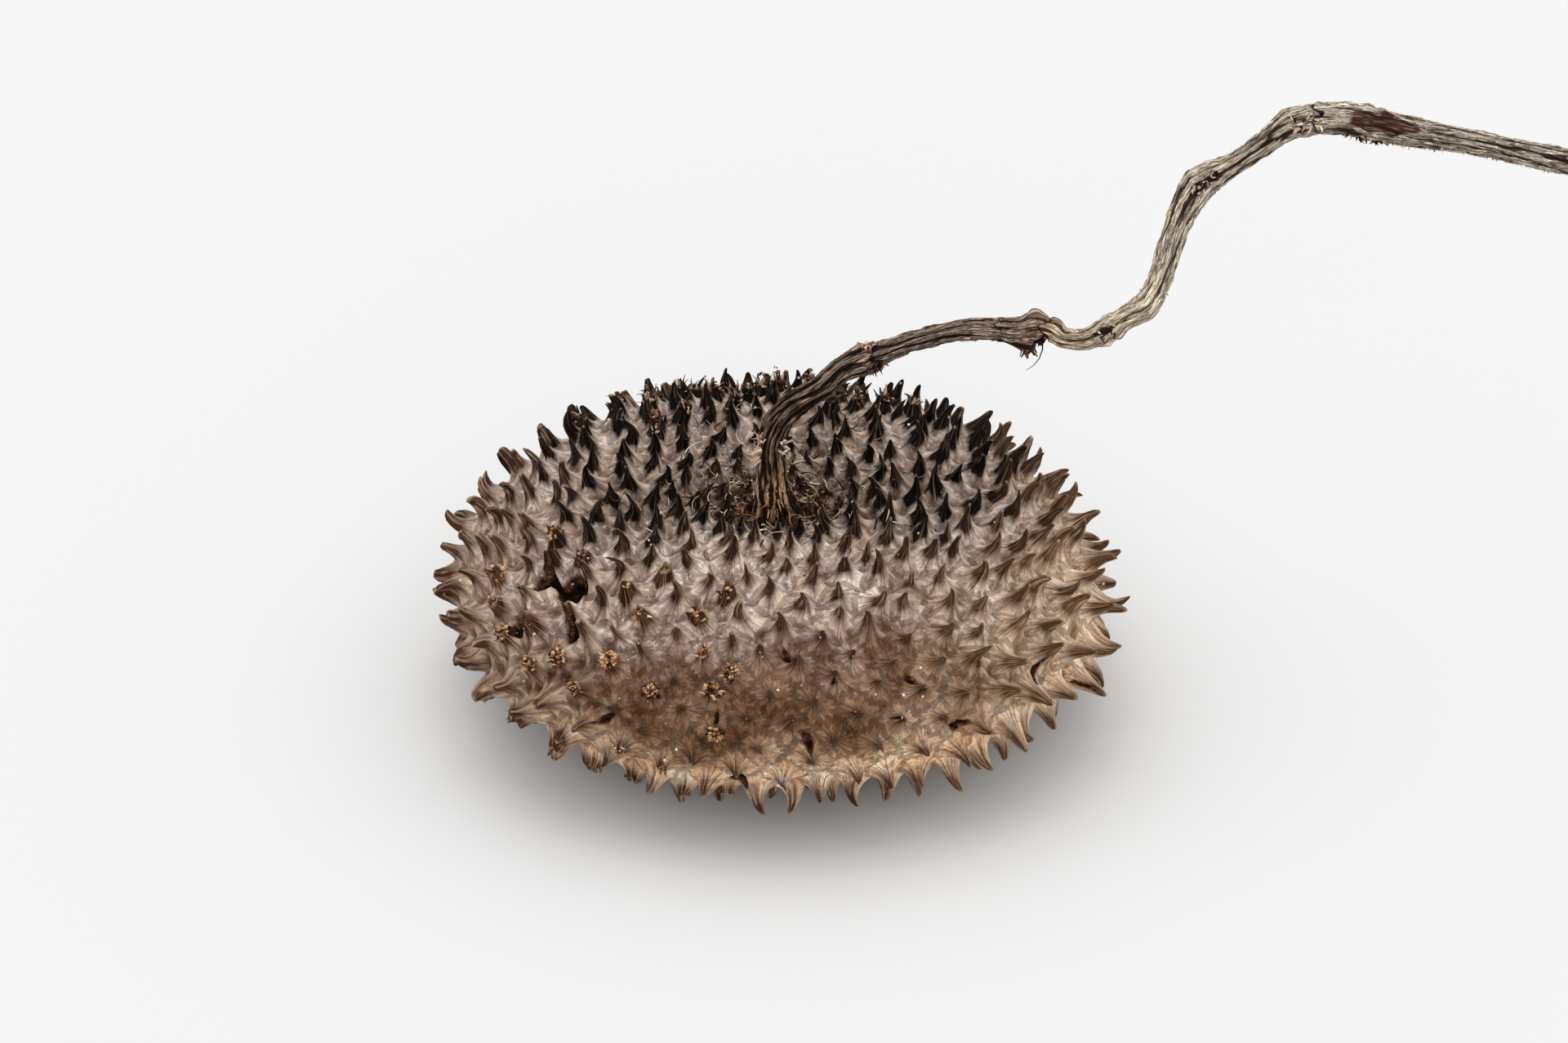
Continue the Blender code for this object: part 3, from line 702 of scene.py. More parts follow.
tints = {
    name: add_node(tree, "ShaderNodeValToRGB", {"Fac": noises[source]}, "Color", ramp=ramp)
    for name, source, ramp in (
        ("brown", "blotch", [(0.36, "#5F3F2C"), (0.5, "#A07A62"), (0.64, "#D6B69C")]),
        ("bleached_and_lit_side", "blotch", [(0.36, "#B48B69"), (0.5, "#E8C7A5"), (0.64, "#FFF0D8")]),
        ("crown", "blotch", [(0.36, "#7A6258"), (0.48, "#CBB4A8"), (0.6, "#FFF2EA")]),
        ("low", "blotch", [(0.36, "#D09C72"), (0.5, "#FED3A8"), (0.64, "#FFEED2")]),
        ("patch", "blotch", [(0.36, "#331C11"), (0.5, "#553624"), (0.64, "#8A6850")]),
        ("brown_spike", "fibres", [(0.36, "#170A04"), (0.54, "#4B3022"), (0.68, "#A9866F")]),
        ("pale_spike", "fibres", [
            (0.36, "#1E0F07"), (0.52, "#553B27"), (0.62, "#8F6F52"), (0.7, "#DCC3A4"),
        ]),
        ("crown_spike", "fibres", [(0.45, "#000000"), (0.57, "#120804"), (0.68, "#6A564A")]),
        ("earth", "grain", [(0.4, "#120A06"), (0.56, "#4A2F1E"), (0.7, "#8A6543")]),
        ("inside", "grain", [(0.36, "#150B06"), (0.52, "#4A2E1D"), (0.66, "#8C6346")]),
    )
}
# Each shade's source, the band over which it changes, and its value at either end
shades = {
    name: add_node(
        tree, "ShaderNodeMapRange",
        {"Value": value, "From Min": low, "From Max": high, "To Min": bottom, "To Max": top},
        "Result",
    )
    for name, value, low, high, bottom, top in (
        ("stain", noises["stain"], 0.51, 0.59, 0.0, 0.62),
        ("streak", noises["fibres"], 0.53, 0.4, 0.0, 0.85),
        ("thread", noises["threads"], 0.47, 0.40, 0.0, 0.5),
        ("near", note["share"], 1.0, 0.6, 0.45, 1.0),
        ("grit", noises["grit"], 0.56, 0.66, 0.0, 0.65),
        ("crest", note["web"], 0.0, 1.0, 0.0, 0.6),
        ("dark_from", note["dark"], 0.0, 1.0, 0.07, 0.06),
        ("dark_by", note["dark"], 0.0, 1.0, 0.62, 0.33),
        ("grime_and_shade", note["grime_and_shade"], 0.0, 1.0, 0.0, 0.8),
        ("patch", note["worn_and_shaded_front"], 0.0, 1.0, 0.0, 0.88),
        ("orange", noises["stain"], 0.48, 0.36, 0.0, 0.5),
        ("worn", note["rise"], 0.86, 1.0, 0.0, 0.8),
        ("pale_ones", note["tone"], -0.3, 0.2, 0.0, 1.0),
        ("earthy", note["by_stalk"], 0.0, 1.0, 0.0, 0.95),
        ("dust", dust, 0.12, 0.07, 0.0, 0.85),
        ("dusty", noises["blotch"], 0.5, 0.56, 0.0, 1.0),
        ("ridge", note["ridge"], 0.1, 0.8, 0.0, 0.75),
        ("opened", note["torn"], 0.12, 0.4, 0.0, 1.0),
        # Painted shade: the deepest parts of torn places and slits are near black
        ("recess_shade", note["torn"], 0.6, 1.0, 0.0, 0.92),
    )
}
# How far the spikes' dark colour reaches, with painted shade on their front-left faces and in the
# trough
reach = add_node(
    tree, "ShaderNodeMath",
    {"Value": noises["grain"], "Value_001": 0.3, "Value_002": note["spike_dark_and_shade"]}, "Value",
    operation="MULTIPLY_ADD",
)
reach = add_node(
    tree, "ShaderNodeMath", {"Value": reach, "Value_001": 0.15}, "Value", operation="SUBTRACT"
)
shades["darkened"] = add_node(
    tree, "ShaderNodeMapRange",
    {"Value": reach, "From Min": shades["dark_from"], "From Max": shades["dark_by"]}, "Result",
)
for name, other in (
    ("streak", "near"), ("thread", "near"), ("worn", "pale_ones"), ("dust", "dusty"),
):
    shades[name] = add_node(
        tree, "ShaderNodeMath", {"Value": shades[name], "Value_001": shades[other]}, "Value",
        operation="MULTIPLY",
    )
for name, share, low, high in (
    ("side", note["bleached_and_lit_side"], "brown", "bleached_and_lit_side"),
    ("side_spike", note["bleached_and_lit_side"], "brown_spike", "pale_spike"),
    ("spike", note["dark"], "side_spike", "crown_spike"),
    ("stub", note["charred"], srgb("#5A3B22"), srgb("#150B07")),
):
    tints[name] = add_node(
        tree, "ShaderNodeMix",
        {"Factor_Float": share, "A_Color": tints.get(low, low), "B_Color": tints.get(high, high)},
        "Result_Color", data_type="RGBA",
    )
roughness = add_node(
    tree, "ShaderNodeMapRange",
    {"Value": noises["grain"], "From Min": 0.3, "From Max": 0.7, "To Min": 0.5, "To Max": 0.75},
    "Result",
)
tree.links.new(roughness, shader.inputs["Roughness"])
shader.inputs["IOR"].default_value = 1.45
shader.inputs["Specular IOR Level"].default_value = 0.05
# The layers of the finish over the side colour, which is lighter on the free end's side partly
# as painted light, then its relief. Several layers carry painted light: the crown's painted
# sheen, painted shade on the front patch, in the trough and on the spikes, painted bounce light
# on the low band, a painted highlight on the crests and ridges, and black painted shade deep in
# torn places and slits.
lay_finish(
    tree, shader, tints["side"],
    (
        (note["crown"], tints["crown"]), (shades["patch"], tints["patch"]),
        (note["low"], tints["low"]), (shades["orange"], srgb("#9A6B45")),
        (shades["stain"], srgb("#7E5D45")), (shades["grime_and_shade"], srgb("#6A5144")),
        (shades["grit"], srgb("#3A271B")), (shades["streak"], srgb("#3E2A1E")),
        (shades["thread"], srgb("#2A1A11")), (shades["crest"], srgb("#E2CDB6")),
        (shades["darkened"], tints["spike"]), (shades["ridge"], srgb("#BFA184")),
        (shades["worn"], srgb("#C9AE8C")), (note["stub"], tints["stub"]),
        (shades["earthy"], tints["earth"]), (shades["opened"], tints["inside"]),
        (shades["recess_shade"], srgb("#0A0402")), (shades["dust"], srgb("#EFE6DC")),
    ),
    noises["grain"],
    ((noises["fibres"], 0.9), (noises["threads"], 0.6), (noises["grit"], 0.4)), 0.2 * MM,
)
capsule = finished_piece(bm, "capsule_husk", husk)
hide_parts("capsule")

# The stalk: one woody, jointed stem, swollen at its joints and fluted by its fibres. Its foot
# flares into the capsule's socket, and its far end is snapped off. The route's points are
# X, Y, height above the dimple's lip, and radius, in mm.
STALK_ROUTE = [
    (0.0, 0.0, -0.9, 2.8),
    (0.0, 0.0, 0.3, 2.75),
    (-0.2, 0.0, 1.6, 2.3),
    (-0.5, 0.0, 3.4, 1.9),
    (-0.6, 0.0, 7.1, 1.6),
    (-0.4, 0.1, 9.1, 1.6),
    (0.5, 0.4, 11.2, 1.6),
    (2.3, 0.8, 12.9, 1.5),
    (4.7, 1.2, 14.3, 1.45),
    (7.0, 1.8, 16.2, 1.45),
    (9.2, 2.2, 17.2, 1.75),
    (11.6, 2.5, 18.1, 1.3),
    (14.3, 2.9, 19.0, 1.2),
    (20.0, 3.8, 20.0, 1.25),
    (25.6, 4.2, 19.7, 1.45),
    (27.9, 4.1, 20.0, 1.7),
    (29.3, 3.6, 20.0, 1.5),
    (30.7, 3.0, 19.4, 1.15),
    (32.9, 2.2, 19.7, 1.25),
    (35.1, 2.2, 20.8, 1.6),
    (36.8, 2.6, 21.9, 1.3),
    (39.1, 3.6, 22.9, 1.55),
    (40.6, 5.0, 25.1, 1.45),
    (41.6, 6.2, 28.3, 1.45),
    (42.7, 7.0, 31.3, 1.5),
    (44.0, 7.4, 34.3, 1.85),
    (45.4, 7.4, 36.2, 1.85),
    (47.5, 7.2, 37.5, 1.4),
    (50.5, 7.0, 39.8, 1.3),
    (52.7, 6.8, 41.8, 1.5),
    (54.8, 6.5, 43.3, 1.8),
    (59.2, 5.9, 44.0, 1.8),
    (61.4, 5.6, 43.8, 1.9),
    (67.0, 5.0, 42.8, 1.65),
    (72.5, 4.4, 42.1, 1.35),
    (83.7, 3.2, 40.1, 1.45),
    (89.0, 2.9, 39.0, 1.4),
]
STEPS_PER_SPAN = 12
STALK_STEP = 0.135 * MM
STALK_SIDES = 72
END_SHARES = (0.93, 0.75, 0.5, 0.22, 0.0)
END_STEP = 0.02 * MM
RIB_COUNT = 8
RIB_DEPTH = 0.24
RIB_TWIST = 3.5
RIDGE_HEIGHT = 0.13 * MM
BARK_HEIGHT = 0.12 * MM
FOOT_BAND = (1.2 * MM, 5.0 * MM)
SOCKET_RUN = 1.4 * MM
SOCKET_FIT = 2.85 * MM
SPLIT_RUN = (9.0 * MM, 13.0 * MM)
# The swollen joints: distance along the stalk and spread, both as shares of its length
KNUCKLES = [
    (0.205, 0.012), (0.358, 0.012), (0.43, 0.012), (0.607, 0.016), (0.714, 0.018), (0.765, 0.014)
]
# The side of the last span where the bark has come off: where it begins and ends, as shares of
# the stalk's length, and the way it faces
BARE_FROM = (0.746, 0.756)
BARE_TO = (0.785, 0.86)
BARE_SIDE = (0.0, -0.8, 0.6)
KNUCKLE_LUMPS = 0.42 * MM
# Folds round the stalk just past a joint: distance along it, half width and depth, in mm
FOLDS = [(24.6, 0.3, 0.3), (38.2, 0.18, 0.1), (43.5, 0.3, 0.45), (84.9, 0.3, 0.2)]
# A hood over the joint and bark that hangs from it: where it begins, is thickest and ends, how
# far it stands out, in mm, and the way it faces
SWELLINGS = [
    (40.4, 42.3, 43.4, 0.5, (0.0, -0.3, 0.95)),
    (38.6, 41.6, 42.0, 0.85, (0.0, -0.2, -0.98)),
    (23.0, 23.8, 24.5, 0.3, (0.0, -0.4, 0.9)),
]
# Hollows where a side shoot came away, blackened with painted shade: distance, the way it faces, size
# and depth, in mm
HOLLOWS = [
    (42.9, (0.0, -0.75, -0.66), 0.85, 0.8), (50.3, (0.0, -0.9, 0.45), 1.0, 0.45),
    (51.6, (0.0, -0.85, -0.2), 0.6, 0.3), (71.6, (0.0, -0.9, 0.4), 0.8, 0.3),
    (83.4, (0.0, -0.95, 0.2), 0.7, 0.3), (24.0, (0.0, -0.8, -0.6), 0.9, 0.5),
]


def smooth_route(points, step):
    """Even steps along a Catmull-Rom curve through the points, with their radius."""
    values = [np.array(p, float) * MM for p in points]
    padded = [2 * values[0] - values[1], *values, 2 * values[-1] - values[-2]]
    dense = []
    for a, b, c, d in zip(padded, padded[1:], padded[2:], padded[3:]):
        for t in np.linspace(0, 1, STEPS_PER_SPAN, endpoint=False):
            square = (2 * a - 5 * b + 4 * c - d) * t**2
            cube = (3 * b - a - 3 * c + d) * t**3
            dense.append((2 * b + (c - a) * t + square + cube) / 2)
    dense.append(values[-1])
    dense = np.array(dense)
    lengths = np.linalg.norm(np.diff(dense[:, :3], axis=0), axis=1)
    run = np.concatenate([[0.0], np.cumsum(lengths)])
    places = np.linspace(0, run[-1], round(run[-1] / step) + 1)
    return places, np.stack([np.interp(places, run, dense[:, k]) for k in range(4)], axis=1)


def carried_frames(centres):
    """Two directions across the route at each step, carried along it without a twist."""
    along = np.gradient(centres, axis=0)
    along /= np.linalg.norm(along, axis=1, keepdims=True)
    across = [np.array([1.0, 0.0, 0.0])]
    for way in along[1:]:
        side = across[-1] - way * np.dot(across[-1], way)
        across.append(side / np.linalg.norm(side))
    across = np.array(across)
    return along, across, np.cross(along, across)


def creased(values):
    """Turns smooth noise into flat-topped ridges with narrow grooves between them."""
    return 1 - np.clip(np.abs(values) * 3.2, 0, 1)


run, rings = smooth_route(STALK_ROUTE, STALK_STEP)
rings[:, 2] += upper_skin(LIP_RADIUS)
length = run[-1]
for _ in END_SHARES:
    end = rings[-1].copy()
    end[:3] += (rings[-1, :3] - rings[-2, :3]) * 0.2
    rings = np.vstack([rings, end])
    run = np.append(run, run[-1] + END_STEP)
shrink = np.ones(len(rings))
shrink[-len(END_SHARES):] = END_SHARES
centres, radii = rings[:, :3], rings[:, 3]
along, across, sideways = carried_frames(centres)

bm = bmesh.new()
bmesh.ops.create_grid(bm, x_segments=STALK_SIDES, y_segments=len(rings) - 1, size=1.0)
bm.verts.ensure_lookup_table()
flat = np.array([v.co for v in bm.verts])
column = np.rint((flat[:, 0] + 1) / 2 * STALK_SIDES).astype(int) % STALK_SIDES
row = np.rint((flat[:, 1] + 1) / 2 * (len(rings) - 1)).astype(int)
travel, share = run[row], run[row] / length
angle = 2 * math.pi * column / STALK_SIDES
circle = np.column_stack([np.cos(angle), np.sin(angle)])
outward = across[row] * circle[:, :1] + sideways[row] * circle[:, 1:]


def bark_noise(turns, size):
    """Smooth noise over the bark, with so many lumps round the stalk and of that length."""
    return speckle(np.column_stack([circle * turns, travel / size]), 1.0)


# The flutes, which split in two near the foot, and the ridges, flakes and knobs of the bark
turned = angle - RIB_TWIST * share + 0.35 * bark_noise(0.9, 9 * MM)
low_down = 1 - smooth_step(SPLIT_RUN, travel)
split = 1 - np.abs(np.sin(RIB_COUNT * turned + 0.6)) ** 0.6
ribs = np.minimum(np.abs(np.sin(RIB_COUNT * turned / 2)) ** 0.7, 1 - 0.9 * low_down * split)
foot = 1 - smooth_step(FOOT_BAND, travel)
depth = RIB_DEPTH * np.clip(0.55 + 0.6 * bark_noise(0.7, 13 * MM) + foot, 0.15, 1.4)
long_ridges = creased(bark_noise(2.4, 7 * MM)) * (1 - 0.4 * low_down)
fine_ridges = creased(bark_noise(6.0, 3.5 * MM))
bark = bark_noise(1.6, 1.6 * MM)
flakes = smooth_step((0.02, 0.12), bark)
knuckle = sum(np.exp(-(((share - at) / spread) ** 2)) for at, spread in KNUCKLES)
lumps = speckle(centres[row] + radii[row, None] * outward, 1.1 * MM)
radius = radii[row] * (1 - depth * (1 - ribs))
radius -= RIDGE_HEIGHT * (0.9 * long_ridges + 0.55 * fine_ridges)
radius += BARK_HEIGHT * (flakes - 0.5) * (1 - foot)
radius += KNUCKLE_LUMPS * lumps * np.clip(knuckle, 0, 1)
radius += 0.05 * MM * bark_noise(3, 0.5 * MM)
radius = np.where(travel < SOCKET_RUN, np.minimum(radius, SOCKET_FIT), radius)

# What the joints add and what side shoots left
distance = travel / MM
# The folds and hollows are kept as painted shade: the bark is blackened in them
recess_shade = np.zeros(len(row))
for at, half_width, deep in FOLDS:
    fold = np.exp(-(((distance + 0.9 * bark - at) / half_width) ** 2))
    radius -= deep * MM * fold
    recess_shade = np.maximum(recess_shade, fold)
for start, thickest, end, proud, facing in SWELLINGS:
    here = smooth_step((start, thickest), distance) * (1 - smooth_step((thickest, end), distance))
    side = smooth_step((0.45, 0.95), (outward * facing).sum(1))
    radius += proud * MM * here * side * (1 + 0.5 * bark)
for at, facing, size, deep in HOLLOWS:
    around = np.arccos(np.clip((outward * facing).sum(1), -1, 1)) * radii[row] / MM
    away = np.hypot(distance - at, around) / size
    hollow = 1 - smooth_step((0.5, 1.0), away * (1 + 0.4 * bark))
    radius -= deep * MM * hollow
    recess_shade = np.maximum(recess_shade, hollow)
points = centres[row] + outward * (radius * shrink[row])[:, None]
snapped = (row >= len(rings) - len(END_SHARES) - 2) * shrink[row]
splinters = speckle(np.column_stack([circle * 4 + 3, np.full(len(row), 3.0)]), 1.0)
points += along[row] * (0.5 * MM * splinters * snapped)[:, None]

# The grooves, darker by their depth, partly the bark's own dark fissures and partly painted shade, with
# the folds and hollows blackened as painted shade, and the side where the bark has come off
groove = 0.75 * (1 - ribs) * (0.5 + depth / RIB_DEPTH + 0.6 * foot)
groove += 0.25 * (1 - smooth_step((0.12, 0.18), share)) + 0.14 * smooth_step((0.55, 0.6), share)
groove = np.clip(groove + 0.55 * long_ridges + 0.4 * fine_ridges, 0, 1)
groove = np.maximum(groove * (1 - 0.12 * smooth_step((0.36, 0.4), share)), recess_shade)
facing_bare = (outward * BARE_SIDE).sum(1) + 0.3 * bark
facing_bare -= 0.25 * smooth_step((0.76, 0.85), share)
bare = smooth_step(BARE_FROM, share) * (1 - smooth_step(BARE_TO, share))
bare *= smooth_step((0.7, 0.82), facing_bare)
notes = {"run": share, "groove": groove, "flake": flakes, "bare": bare}
streak_ways = np.column_stack([circle, travel / (24 * MM)])
move_and_note(bm, points, notes, "streak", streak_ways)
bmesh.ops.remove_doubles(bm, verts=bm.verts, dist=0.0005 * MM)
bmesh.ops.holes_fill(bm, edges=[e for e in bm.edges if e.is_boundary], sides=0)
bmesh.ops.triangulate(bm, faces=[f for f in bm.faces if len(f.verts) > 4])

# Weathered bark: matt, fibrous and fissured. Orange-brown at the foot, then nearly black,
# red-brown past the first bend, and silvery beige where the sun has dried it. Its grooves are
# dark, partly its own dark fissures and partly painted shade, and its folds and hollows are
# blackened with painted shade.
bark_finish, tree, shader = new_finish("weathered_bark")
place = add_node(tree, "ShaderNodeTexCoord", out="Object")
note = {
    name: add_node(tree, "ShaderNodeAttribute", attribute_name=name, out="Fac")
    for name in ("run", "groove", "flake", "bare")
}
streak = add_node(tree, "ShaderNodeAttribute", attribute_name="streak", out="Vector")
noises = {
    name: add_node(
        tree, "ShaderNodeTexNoise",
        {"Vector": where, "Scale": scale, "Detail": detail, "Roughness": 0.65}, "Fac",
    )
    for name, where, scale, detail in (
        ("bands", streak, 5.0, 2.0), ("fibres", streak, 13.0, 5.0), ("threads", streak, 30.0, 3.0),
        ("grain", place, 1 / (0.35 * MM), 4.0), ("patches", place, 1 / (4 * MM), 3.0),
    )
}
wander = add_node(
    tree, "ShaderNodeMath",
    {"Value": noises["patches"], "Value_001": 0.03, "Value_002": note["run"]}, "Value",
    operation="MULTIPLY_ADD",
)
tints = {
    name: add_node(tree, "ShaderNodeValToRGB", {"Fac": wander}, "Color", ramp=ramp)
    for name, ramp in (
        ("crest", [
            (0.02, "#FFC494"), (0.055, "#FFC090"), (0.085, "#5C3B2B"), (0.14, "#281A12"),
            (0.2, "#584134"), (0.28, "#8C6F5D"), (0.375, "#866958"), (0.395, "#FFDFB8"),
            (0.5, "#FBE6C8"), (0.65, "#DCC6AA"), (0.8, "#C2AC95"), (1.0, "#D0BCA5"),
        ]),
        ("pale", [
            (0.02, "#FFDDB8"), (0.1, "#9C7E68"), (0.25, "#E0C6B4"), (0.38, "#DCC6B4"),
            (0.4, "#FFF2DA"), (1.0, "#F6EBDA"),
        ]),
        ("groove", [
            (0.02, "#160802"), (0.17, "#0E0502"), (0.36, "#1E0F09"), (0.4, "#4E321E"),
            (0.55, "#32211A"), (1.0, "#2C1D15"),
        ]),
    )
}
tints["wood"] = add_node(
    tree, "ShaderNodeValToRGB", {"Fac": noises["fibres"]}, "Color",
    ramp=[(0.36, "#29140E"), (0.5, "#50301F"), (0.64, "#8C6550")],
)
fissures = []
for name, width in (("bands", 0.034), ("fibres", 0.03)):
    middle = add_node(
        tree, "ShaderNodeMath", {"Value": noises[name], "Value_001": 0.5}, "Value", operation="SUBTRACT"
    )
    distance = add_node(tree, "ShaderNodeMath", {"Value": middle}, "Value", operation="ABSOLUTE")
    fissures.append(add_node(
        tree, "ShaderNodeMapRange",
        {"Value": distance, "From Min": width, "From Max": width * 0.25}, "Result",
    ))
fissure = add_node(
    tree, "ShaderNodeMath", {"Value": fissures[0], "Value_001": fissures[1]}, "Value",
    operation="MAXIMUM",
)
shades = {
    name: add_node(
        tree, "ShaderNodeMapRange",
        {"Value": value, "From Min": low, "From Max": high, "To Min": bottom, "To Max": top},
        "Result",
    )
    for name, value, low, high, bottom, top in (
        ("sunk", note["groove"], 0.66, 0.88, 0.0, 0.97),
        ("fissure", fissure, 0.0, 1.0, 0.0, 0.9),
        ("pale", noises["threads"], 0.45, 0.58, 0.0, 0.85),
        ("dusk", noises["fibres"], 0.44, 0.36, 0.0, 0.7),
        ("bright", noises["fibres"], 0.52, 0.6, 0.0, 0.75),
        ("scale", note["flake"], 1.0, 0.0, 0.0, 0.18),
        ("pit", noises["grain"], 0.62, 0.72, 0.0, 0.5),
        ("bare", note["bare"], 0.2, 0.6, 0.0, 0.95),
    )
}
shader.inputs["Roughness"].default_value = 0.72
shader.inputs["Specular IOR Level"].default_value = 0.05
lay_finish(
    tree, shader, tints["crest"],
    (
        (shades["pale"], tints["pale"]), (shades["dusk"], tints["groove"]),
        (shades["bright"], tints["pale"]), (shades["scale"], tints["groove"]),
        (shades["bare"], tints["wood"]), (shades["pit"], tints["groove"]),
        (shades["sunk"], tints["groove"]), (shades["fissure"], tints["groove"]),
    ),
    noises["grain"],
    ((noises["threads"], 0.9), (noises["fibres"], 1.4), (fissure, -0.9)), 0.16 * MM,
)
stalk = finished_piece(bm, "stalk_bark", bark_finish)
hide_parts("stalk")

# Torn fibres: strands and crumbs of husk and bark in a ring round the stalk's foot, strewn over
# the crown, in tufts on the broken spikes, and curling off the stalk. Each strand is a flat,
# tapering strip, grown fast at one end.
STRAND_STEPS = 4
COLLAR_STRANDS = 900
COLLAR_BAND = (3.5 * MM, 9.5 * MM)
COLLAR_INNER_BAND = (3.5 * MM, 5.6 * MM)
GOLDEN_WITHIN = 5.8 * MM
CROWN_STRANDS = 260
CROWN_STRAND_BAND = (7.0 * MM, 19.0 * MM)
STRAND_LENGTHS = (0.9, 2.6)
STRAND_WIDTHS = (0.1, 0.3)
# How many strands and crumbs a broken spike has, in front and on the charred back
TUFT = (12, 46)
CHARRED_TUFT = (22, 38)
STUB_RADIUS = 0.95 * MM
CRUMB_SIZES = (0.12, 0.4)
# Tatters of bark: distance along the stalk, the way they face, how many, their spread along it,
# length, width, curl, how far they lie along the stalk, and their two shades
STALK_TATTERS = [
    (8.6, (-1.0, -0.5, 0.4), 38, 1.3, (0.5, 1.3), (0.2, 0.5), 1.6, 1.0, (0.78, 0.9)),
    (9.2, (0.8, -0.6, 0.2), 12, 1.0, (0.5, 1.2), (0.3, 0.6), 1.6, 1.0, (0.1, 0.9)),
    (3.0, (0.0, -1.0, 0.0), 26, 1.6, (0.6, 1.6), (0.15, 0.4), 0.6, 1.0, (0.1, 0.66)),
    (24.3, (0.0, -0.8, -0.6), 24, 0.9, (0.5, 1.2), (0.3, 0.7), 1.5, 1.0, (0.1, 0.38)),
    (24.0, (0.0, -0.3, 0.9), 16, 0.8, (0.4, 0.8), (0.4, 0.8), 1.5, 1.0, (0.38, 0.86)),
    (41.3, (0.0, -0.2, -0.98), 12, 0.7, (1.5, 2.3), (0.5, 1.0), 0.5, 0.5, (0.3, 0.34)),
    (42.9, (0.0, -0.7, -0.7), 16, 0.5, (0.4, 0.9), (0.3, 0.6), 1.5, 1.0, (0.05, 0.2)),
    (50.2, (0.0, -1.0, 0.2), 22, 0.9, (0.4, 0.9), (0.3, 0.6), 1.8, 1.0, (0.1, 0.9)),
    (70.8, (-0.2, -0.9, 0.2), 30, 1.6, (0.4, 1.1), (0.3, 0.7), 1.8, 1.0, (0.1, 0.9)),
    (83.8, (0.0, -0.9, 0.3), 34, 1.6, (0.4, 1.0), (0.3, 0.7), 1.8, 1.0, (0.1, 0.9)),
    (90.0, (0.0, -0.6, -0.8), 40, 2.4, (0.4, 0.9), (0.2, 0.5), 1.8, 1.0, (0.1, 0.38)),
    (104.0, (0.0, -0.4, -1.0), 240, 11.0, (0.2, 0.6), (0.15, 0.35), 1.8, 1.0, (0.38, 0.86)),
    (56.0, (0.5, -0.5, -0.7), 24, 5.0, (0.2, 0.5), (0.15, 0.3), 1.5, 1.0, (0.3, 0.9)),
]
# One hair on the hanging bark: distance along the stalk, way, length, width and curl
HAIR = (42.7 * MM, (0.12, -0.45, -0.9), 3.9 * MM, 0.4 * MM, 1.3)


def straight_strand():
    """A flat, tapering strand of unit length and width, cut into its steps."""
    bm = bmesh.new()
    bmesh.ops.create_cone(bm, cap_ends=True, segments=4, radius1=0.5, radius2=0.14, depth=1)
    bmesh.ops.translate(bm, verts=bm.verts, vec=(0, 0, 0.5))
    bmesh.ops.scale(bm, verts=bm.verts, vec=(0.45, 1, 1))
    sides = [e for e in bm.edges if abs(e.verts[0].co.z - e.verts[1].co.z) > 0.5]
    bmesh.ops.subdivide_edges(bm, edges=sides, cuts=STRAND_STEPS - 1, use_grid_fill=True)
    mesh = bpy.data.meshes.new("straight_strand")
    bm.to_mesh(mesh)
    bm.free()
    return mesh


def add_shape(bm, shape, tone, placed):
    """Adds a copy of a small shape, with each corner where the placing function puts it."""
    before = len(bm.verts)
    bm.from_mesh(shape, face_normals=False, vertex_normals=False)
    bm.verts.ensure_lookup_table()
    for vert in bm.verts[before:]:
        vert.co = placed(vert.co)
        vert[tone[0]] = tone[1]


def add_strand(bm, strand, tone, foot, way, length, width, curl, roll):
    """One strand that curls as it grows from its foot."""
    turned = way.to_track_quat("Z", "X").to_matrix() @ Matrix.Rotation(roll, 3, "Z")
    bend = length / curl

    def curled(corner):
        x, y, turn = corner.x * width, corner.y * width, curl * corner.z
        bent = Vector((bend - (bend - x) * math.cos(turn), y, (bend - x) * math.sin(turn)))
        return foot + turned @ bent

    add_shape(bm, strand, tone, curled)


def grounded(tree, radius, azimuth):
    """The husk's own surface straight below a place on the crown."""
    above = Vector((radius * math.cos(azimuth), radius * math.sin(azimuth), 60 * MM))
    return tree.ray_cast(above, Vector((0, 0, -1)))[:2]


surface = BVHTree.FromPolygons(
    [v.co for v in capsule.data.vertices], [p.vertices for p in capsule.data.polygons]
)
draw = random.Random(SEED)
bm = bmesh.new()
tone = bm.verts.layers.float.new("tone")
strand = straight_strand()
for i in range(COLLAR_STRANDS + CROWN_STRANDS):
    in_collar = i < COLLAR_STRANDS
    radius = draw.uniform(*(COLLAR_BAND if in_collar else CROWN_STRAND_BAND))
    if in_collar and draw.random() < 0.5:
        radius = draw.uniform(*COLLAR_INNER_BAND)
    azimuth = draw.uniform(0, 2 * math.pi)
    point, normal = grounded(surface, radius, azimuth)
    side = azimuth + draw.uniform(-2.4, 2.4)
    way = Vector((math.cos(side), math.sin(side), draw.uniform(0.0, 0.45 if in_collar else 0.2)))
    kind = draw.random()
    shade = draw.uniform(0.0, 0.45) if kind < 0.62 else draw.uniform(0.84, 1.0)
    if kind > 0.7 and radius < GOLDEN_WITHIN and math.sin(azimuth) < 0.2:
        shade = draw.uniform(0.55, 0.75)
    if not in_collar:
        way = (way - normal * way.dot(normal) * 0.8).normalized()
    add_strand(
        bm, strand, (tone, shade), point - way * 0.3 * MM, way.normalized(),
        draw.uniform(*STRAND_LENGTHS) * MM, draw.uniform(*STRAND_WIDTHS) * MM,
        draw.choice((-1, 1)) * draw.uniform(0.3, 3.2), draw.uniform(0, 6.3),
    )
crumb_shape = bmesh.new()
bmesh.ops.create_icosphere(crumb_shape, subdivisions=1, radius=1.0)
